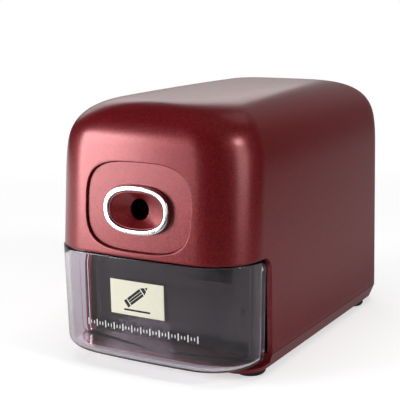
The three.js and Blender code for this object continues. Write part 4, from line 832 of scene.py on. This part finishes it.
# Cream paper with a generic picture of a pencil: p runs along the pencil and q is the distance from
# its axis. Black are its body but for a line, its point (q < slope * (tip - p)) but for a ring, its
# end, and one short rule below; the rest is paper.
def creamLabel():
    m, d = Material("creamLabel", SpecularIORLevel=0.4), picture
    place = m.place()
    x, z = m.parts(place)[::2]
    turn = math.radians(d["turn"])
    dx = (x * 1000 - label["middle"][0]) * d["scale"]
    dz = (z * 1000 - label["middle"][1] - d["up"]) * d["scale"]
    p = dx * math.cos(turn) + dz * math.sin(turn)
    q = (dz * math.cos(turn) - dx * math.sin(turn)).size()
    body = between(p, d["body"]) * (q < d["half"]) * (1 - between(q, d["line"]))
    start, tip = d["point"]
    cone = (p > start) * (q < (tip - p) * d["slope"]) * (1 - between(p, d["ring"]))
    end = between(p, d["end"]) * (q < d["half"])
    half, thick = d["rule"]
    rule = ((z * 1000 - label["middle"][1] + d["ruleDown"]).size() < thick) * (dx.size() < half)
    ink = (body + cone + end + rule).least(1)
    fibre = m.node("ShaderNodeTexNoise", Vector=place, Scale=900, Detail=5)
    paper = m.mix(fibre, rgb(246, 242, 220), rgb(252, 250, 232))
    m.set(BaseColor=m.mix(ink, paper, rgb(26, 25, 25)), Roughness=0.5 + fibre * 0.2 - ink * 0.15,
          Normal=m.bump(fibre, 0.2, 0.00004))
    return m.data


finishes = {
    "red_metallic": redLacquer(), "chrome": chromePlate(), "smoky_clear": smokyClear(),
    "label_cream": creamLabel(), "board_green": boardGreen(),
    "black_plastic": moulded("blackPlastic", rgb(16, 10, 10), rgb(26, 17, 17), 0.62, shine=0.06),
    "rubber": moulded("footRubber", rgb(18, 18, 18), rgb(34, 33, 33), 0.8, 1400, 0.4),
    "nylon_white": moulded("whiteNylon", rgb(214, 212, 202), rgb(232, 230, 222), 0.38, 1200, 0.15),
    "magnet_dark": moulded("ferrite", rgb(44, 44, 47), rgb(66, 65, 68), 0.6, 900, 0.4),
    "coil_tape": moulded("coilTape", rgb(196, 160, 62), rgb(218, 184, 88), 0.35, 800, 0.2),
    "capacitor_sleeve": moulded("capacitorSleeve", rgb(22, 34, 74), rgb(34, 48, 96), 0.3, 700, 0.1),
    "steel": metal("platedSteel", rgb(150, 151, 154), rgb(188, 189, 192), 0.32),
    "tool_steel": metal("toolSteel", rgb(108, 109, 113), rgb(150, 151, 156), 0.26, (1500, 90, 1500)),
    "bronze": metal("sinteredBronze", rgb(150, 104, 58), rgb(190, 142, 88), 0.45, (900, 900, 900), 0.4),
    "copper": winding("copperWire", rgb(120, 52, 26), rgb(206, 116, 68)),
}
whiteInk = moulded("whiteInk", rgb(226, 224, 224), rgb(242, 240, 240), 0.45, 1500, 0.3)
for part in frame["record"]["subparts"]:
    for slot in nodes[part["node"]].material_slots:
        slot.material = finishes[part["material_slot"]]
print("finishes:", len(finishes))

makeHousing(finishes["red_metallic"])
makePanel(finishes["red_metallic"])
makeRing(finishes["chrome"])
makeDrawer(finishes["smoky_clear"])
makeLabel(finishes["label_cream"])
makeStrokes(whiteInk)
print("pieces made")


camera = {"place": (0.2426, -0.4432, 0.1685), "target": (-0.0105, -0.00266, 0.06293),  # metres
          "lens": 93.146, "sensor": 36, "roll": -0.57, "shift": (-0.0128, 0.0097),  # roll in degrees
          "clip": (0.02, 20)}


def makeCamera():
    data = bpy.data.cameras.new("camera")
    data.lens, data.sensor_width = camera["lens"], camera["sensor"]
    data.shift_x, data.shift_y = camera["shift"]
    data.clip_start, data.clip_end = camera["clip"]
    holder = bpy.data.objects.new("camera", data)
    bpy.context.scene.collection.objects.link(holder)
    holder.location = camera["place"]
    look = Vector(camera["target"]) - holder.location
    holder.rotation_mode = "QUATERNION"
    holder.rotation_quaternion = (look.to_track_quat("-Z", "Y")
                                  @ Quaternion((0, 0, 1), math.radians(camera["roll"])))
    bpy.context.scene.camera = holder


# Metres from the frame's origin: place, what it faces, width and height; then power, and whether
# mirrors show it. The cards are faint lamps that stand for pale surfaces.
lamps = {
    "frontLamp": ((-0.547, -0.582, 0.155), (0.0, -0.08, 0.075), (0.37, 0.37), 4.5, True),
    "highCard": ((-0.5565, -0.568, 0.31), (0, -0.08, 0.09), (0.3, 0.1), 0.5, True),
    "lowCard": ((-0.305, -0.768, 0.125), (0, -0.08, 0.07), (0.26, 0.24), 0.21, True),
    "sideLamp": ((0.595, -0.11, 0.14), (0.045, -0.07, 0.08), (0.26, 0.3), 0.7, True),
    "cornerLamp": ((0.865, -0.1, 0.6), (0.04, -0.06, 0.1), (0.2, 0.2), 2.4, True),
    "backLamp": ((-0.75, 0.85, 0.5), (0, 0, 0.1), (0.9, 0.4), 1.1, True),
    "topLamp": ((0, 0, 1.0), (0, 0, 0), (0.8, 0.8), 3.6, False),
    "roofCard": ((0.15, 0.6, 0.95), (0, 0, 0.1), (0.5, 0.4), 0.25, True),
}


def areaLamp(name, place, target, size, power, mirrored):
    data = bpy.data.lights.new(name, "AREA")
    data.shape, data.size, data.size_y, data.energy = "RECTANGLE", *size, power
    lamp = bpy.data.objects.new(name, data)
    bpy.context.scene.collection.objects.link(lamp)
    lamp.location = place
    lamp.visible_camera, lamp.visible_glossy = False, mirrored
    lamp.rotation_mode = "QUATERNION"
    lamp.rotation_quaternion = (Vector(target) - Vector(place)).to_track_quat("-Z", "Y")


studio = {
    "floor": (-0.9, -0.42, 0.9, 1.25), "backdrop": (-1.2, 0.8, 1.5),  # x, y limits; x limits, height
    "paper": 0.8, "paperInMirror": 0.32,  # the floor's paleness, and as mirrors see it
    "paperGlow": 0.53, "throughGlass": 0.42,  # the glow's strength on the paper, its share in glass
    "world": 0.03,  # strength of the world's light
    "glowAlone": (0.2, 0.5),  # distances between which the glow takes over from the paper
    "mirrored": 0.26,  # the floor's glow in mirrors; it fades out to the right, and has a limit
    "mirroredWidth": (0.14, 0.31), "mirroredTurn": 0.23, "mirroredLimit": 1.5,
    # where along x or y the mirrored glow is dimmed or stronger, how wide, and by what share
    # painted shadow: dimRight darkens the floor's glow as mirrors see it beside the object, where its
    # shadow lies
    "dimRight": (0.07, 0.04, -0.9), "strongLeft": (-0.24, 0.15, 1.5),
    "strongFront": (-0.105, 0.03, 1.5),
    "mirroredBackdrop": 0.3, "backdropFade": (0.2, 0.5),  # x and height where its fading starts
}


def grey(value):
    return (value, value, value, 1)


# How far a value has got from start to end, within 0 and a limit.
def ramp(value, start, end, limit=1):
    return ((value - start) / (end - start)).most(0).least(limit)


# 1 for rays that the camera sees directly, in a mirror or through glass, else 0. A ray that has gone
# through glass counts as one in a mirror too.
def seenRays(tree):
    path = tree.nodes.new("ShaderNodeLightPath")
    return tuple(Sock(tree, path.outputs[name]) for name in
                 ("Is Camera Ray", "Is Glossy Ray", "Is Transmission Ray"))


def stagePlane(name, corners, material):
    mesh = bpy.data.meshes.new(name)
    mesh.from_pydata(corners, [], [(0, 1, 2, 3)])
    plane = bpy.data.objects.new(name, mesh)
    bpy.context.scene.collection.objects.link(plane)
    mesh.materials.append(material)


# The floor is pale paper, which takes the object's shadow. A glow that only the camera, mirrors and
# glass see lifts it to white, and away from the object the glow alone is left. What mirrors see is
# mirrored * fade * (1 + beside + the larger of beyond and before). fade falls from left to right.
# beside and before are tents, (1 - |x or y - place| / width) * share; beyond rises to the left.
def makeFloor():
    left, front, right, rear = studio["floor"]
    m = Material("floorPaper", Roughness=0.9, SpecularIORLevel=0.1)
    camera, glossy, through = seenRays(m.tree)
    x, y = m.parts(m.place())[:2]
    start, end = studio["mirroredWidth"]
    fade = ramp(x - y * studio["mirroredTurn"], end, start, studio["mirroredLimit"])
    (besideAt, besideWidth, dim), (beyondAt, beyondWidth, more), (beforeAt, beforeWidth, glint) = (
        studio[key] for key in ("dimRight", "strongLeft", "strongFront"))
    # painted shadow of the object beside it, in the floor's glow as mirrors see it
    beside = (1 - (x - besideAt).size() / besideWidth).most(0) * dim
    beyond = ramp(x, beyondAt + beyondWidth, beyondAt) * more
    before = (1 - (y - beforeAt).size() / beforeWidth).most(0) * glint
    mirrored = glossy * studio["mirrored"] * fade * (beside + beyond.most(before) + 1)
    seen = camera.most(mirrored).most(through * studio["throughGlass"])
    m.set(BaseColor=m.mix(glossy * (1 - through), grey(studio["paper"]), grey(studio["paperInMirror"])),
          EmissionColor=grey(1), EmissionStrength=seen * studio["paperGlow"])
    away = ramp((x * x + y * y) ** 0.5, *studio["glowAlone"])
    strength = camera.most(mirrored).most(through)
    m.mixShader(away, m.node("ShaderNodeEmission", Color=grey(1), Strength=strength))
    corners = [(left, front, 0), (right, front, 0), (right, rear, 0), (left, rear, 0)]
    stagePlane("floor", corners, m.data)


# The backdrop only glows: 1 to the camera and through glass, and in mirrors less to the right and up.
def makeBackdrop():
    b = Material("backdropPaper", BaseColor=grey(0), SpecularIORLevel=0, EmissionColor=grey(1))
    camera, glossy, through = seenRays(b.tree)
    rear, (start, end, height) = studio["floor"][3], studio["backdrop"]
    (x, z), (side, up) = b.parts(b.place())[::2], studio["backdropFade"]
    mirrored = glossy * (ramp(x, end, side) * ramp(z, height, up)) * studio["mirroredBackdrop"]
    b.set(EmissionStrength=camera.most(mirrored).most(through))
    corners = [(start, rear, 0), (end, rear, 0), (end, rear, height), (start, rear, height)]
    stagePlane("backdrop", corners, b.data)


# The world is white to the camera and through glass, and nearly dark as a light and in mirrors.
def makeWorld():
    world = bpy.data.worlds.new("studio")
    bpy.context.scene.world = world
    world.use_nodes = True
    tree = world.node_tree
    camera, through = seenRays(tree)[::2]
    back = tree.nodes["Background"]
    connect(tree, back.inputs["Color"], grey(1))
    strength = camera.most(through) * (1 - studio["world"]) + studio["world"]
    connect(tree, back.inputs["Strength"], strength)


makeCamera()
makeWorld()
makeFloor()
makeBackdrop()
for name, settings in lamps.items():
    areaLamp(name, *settings)
bpy.context.scene.view_settings.view_transform = "Standard"
print("studio made")
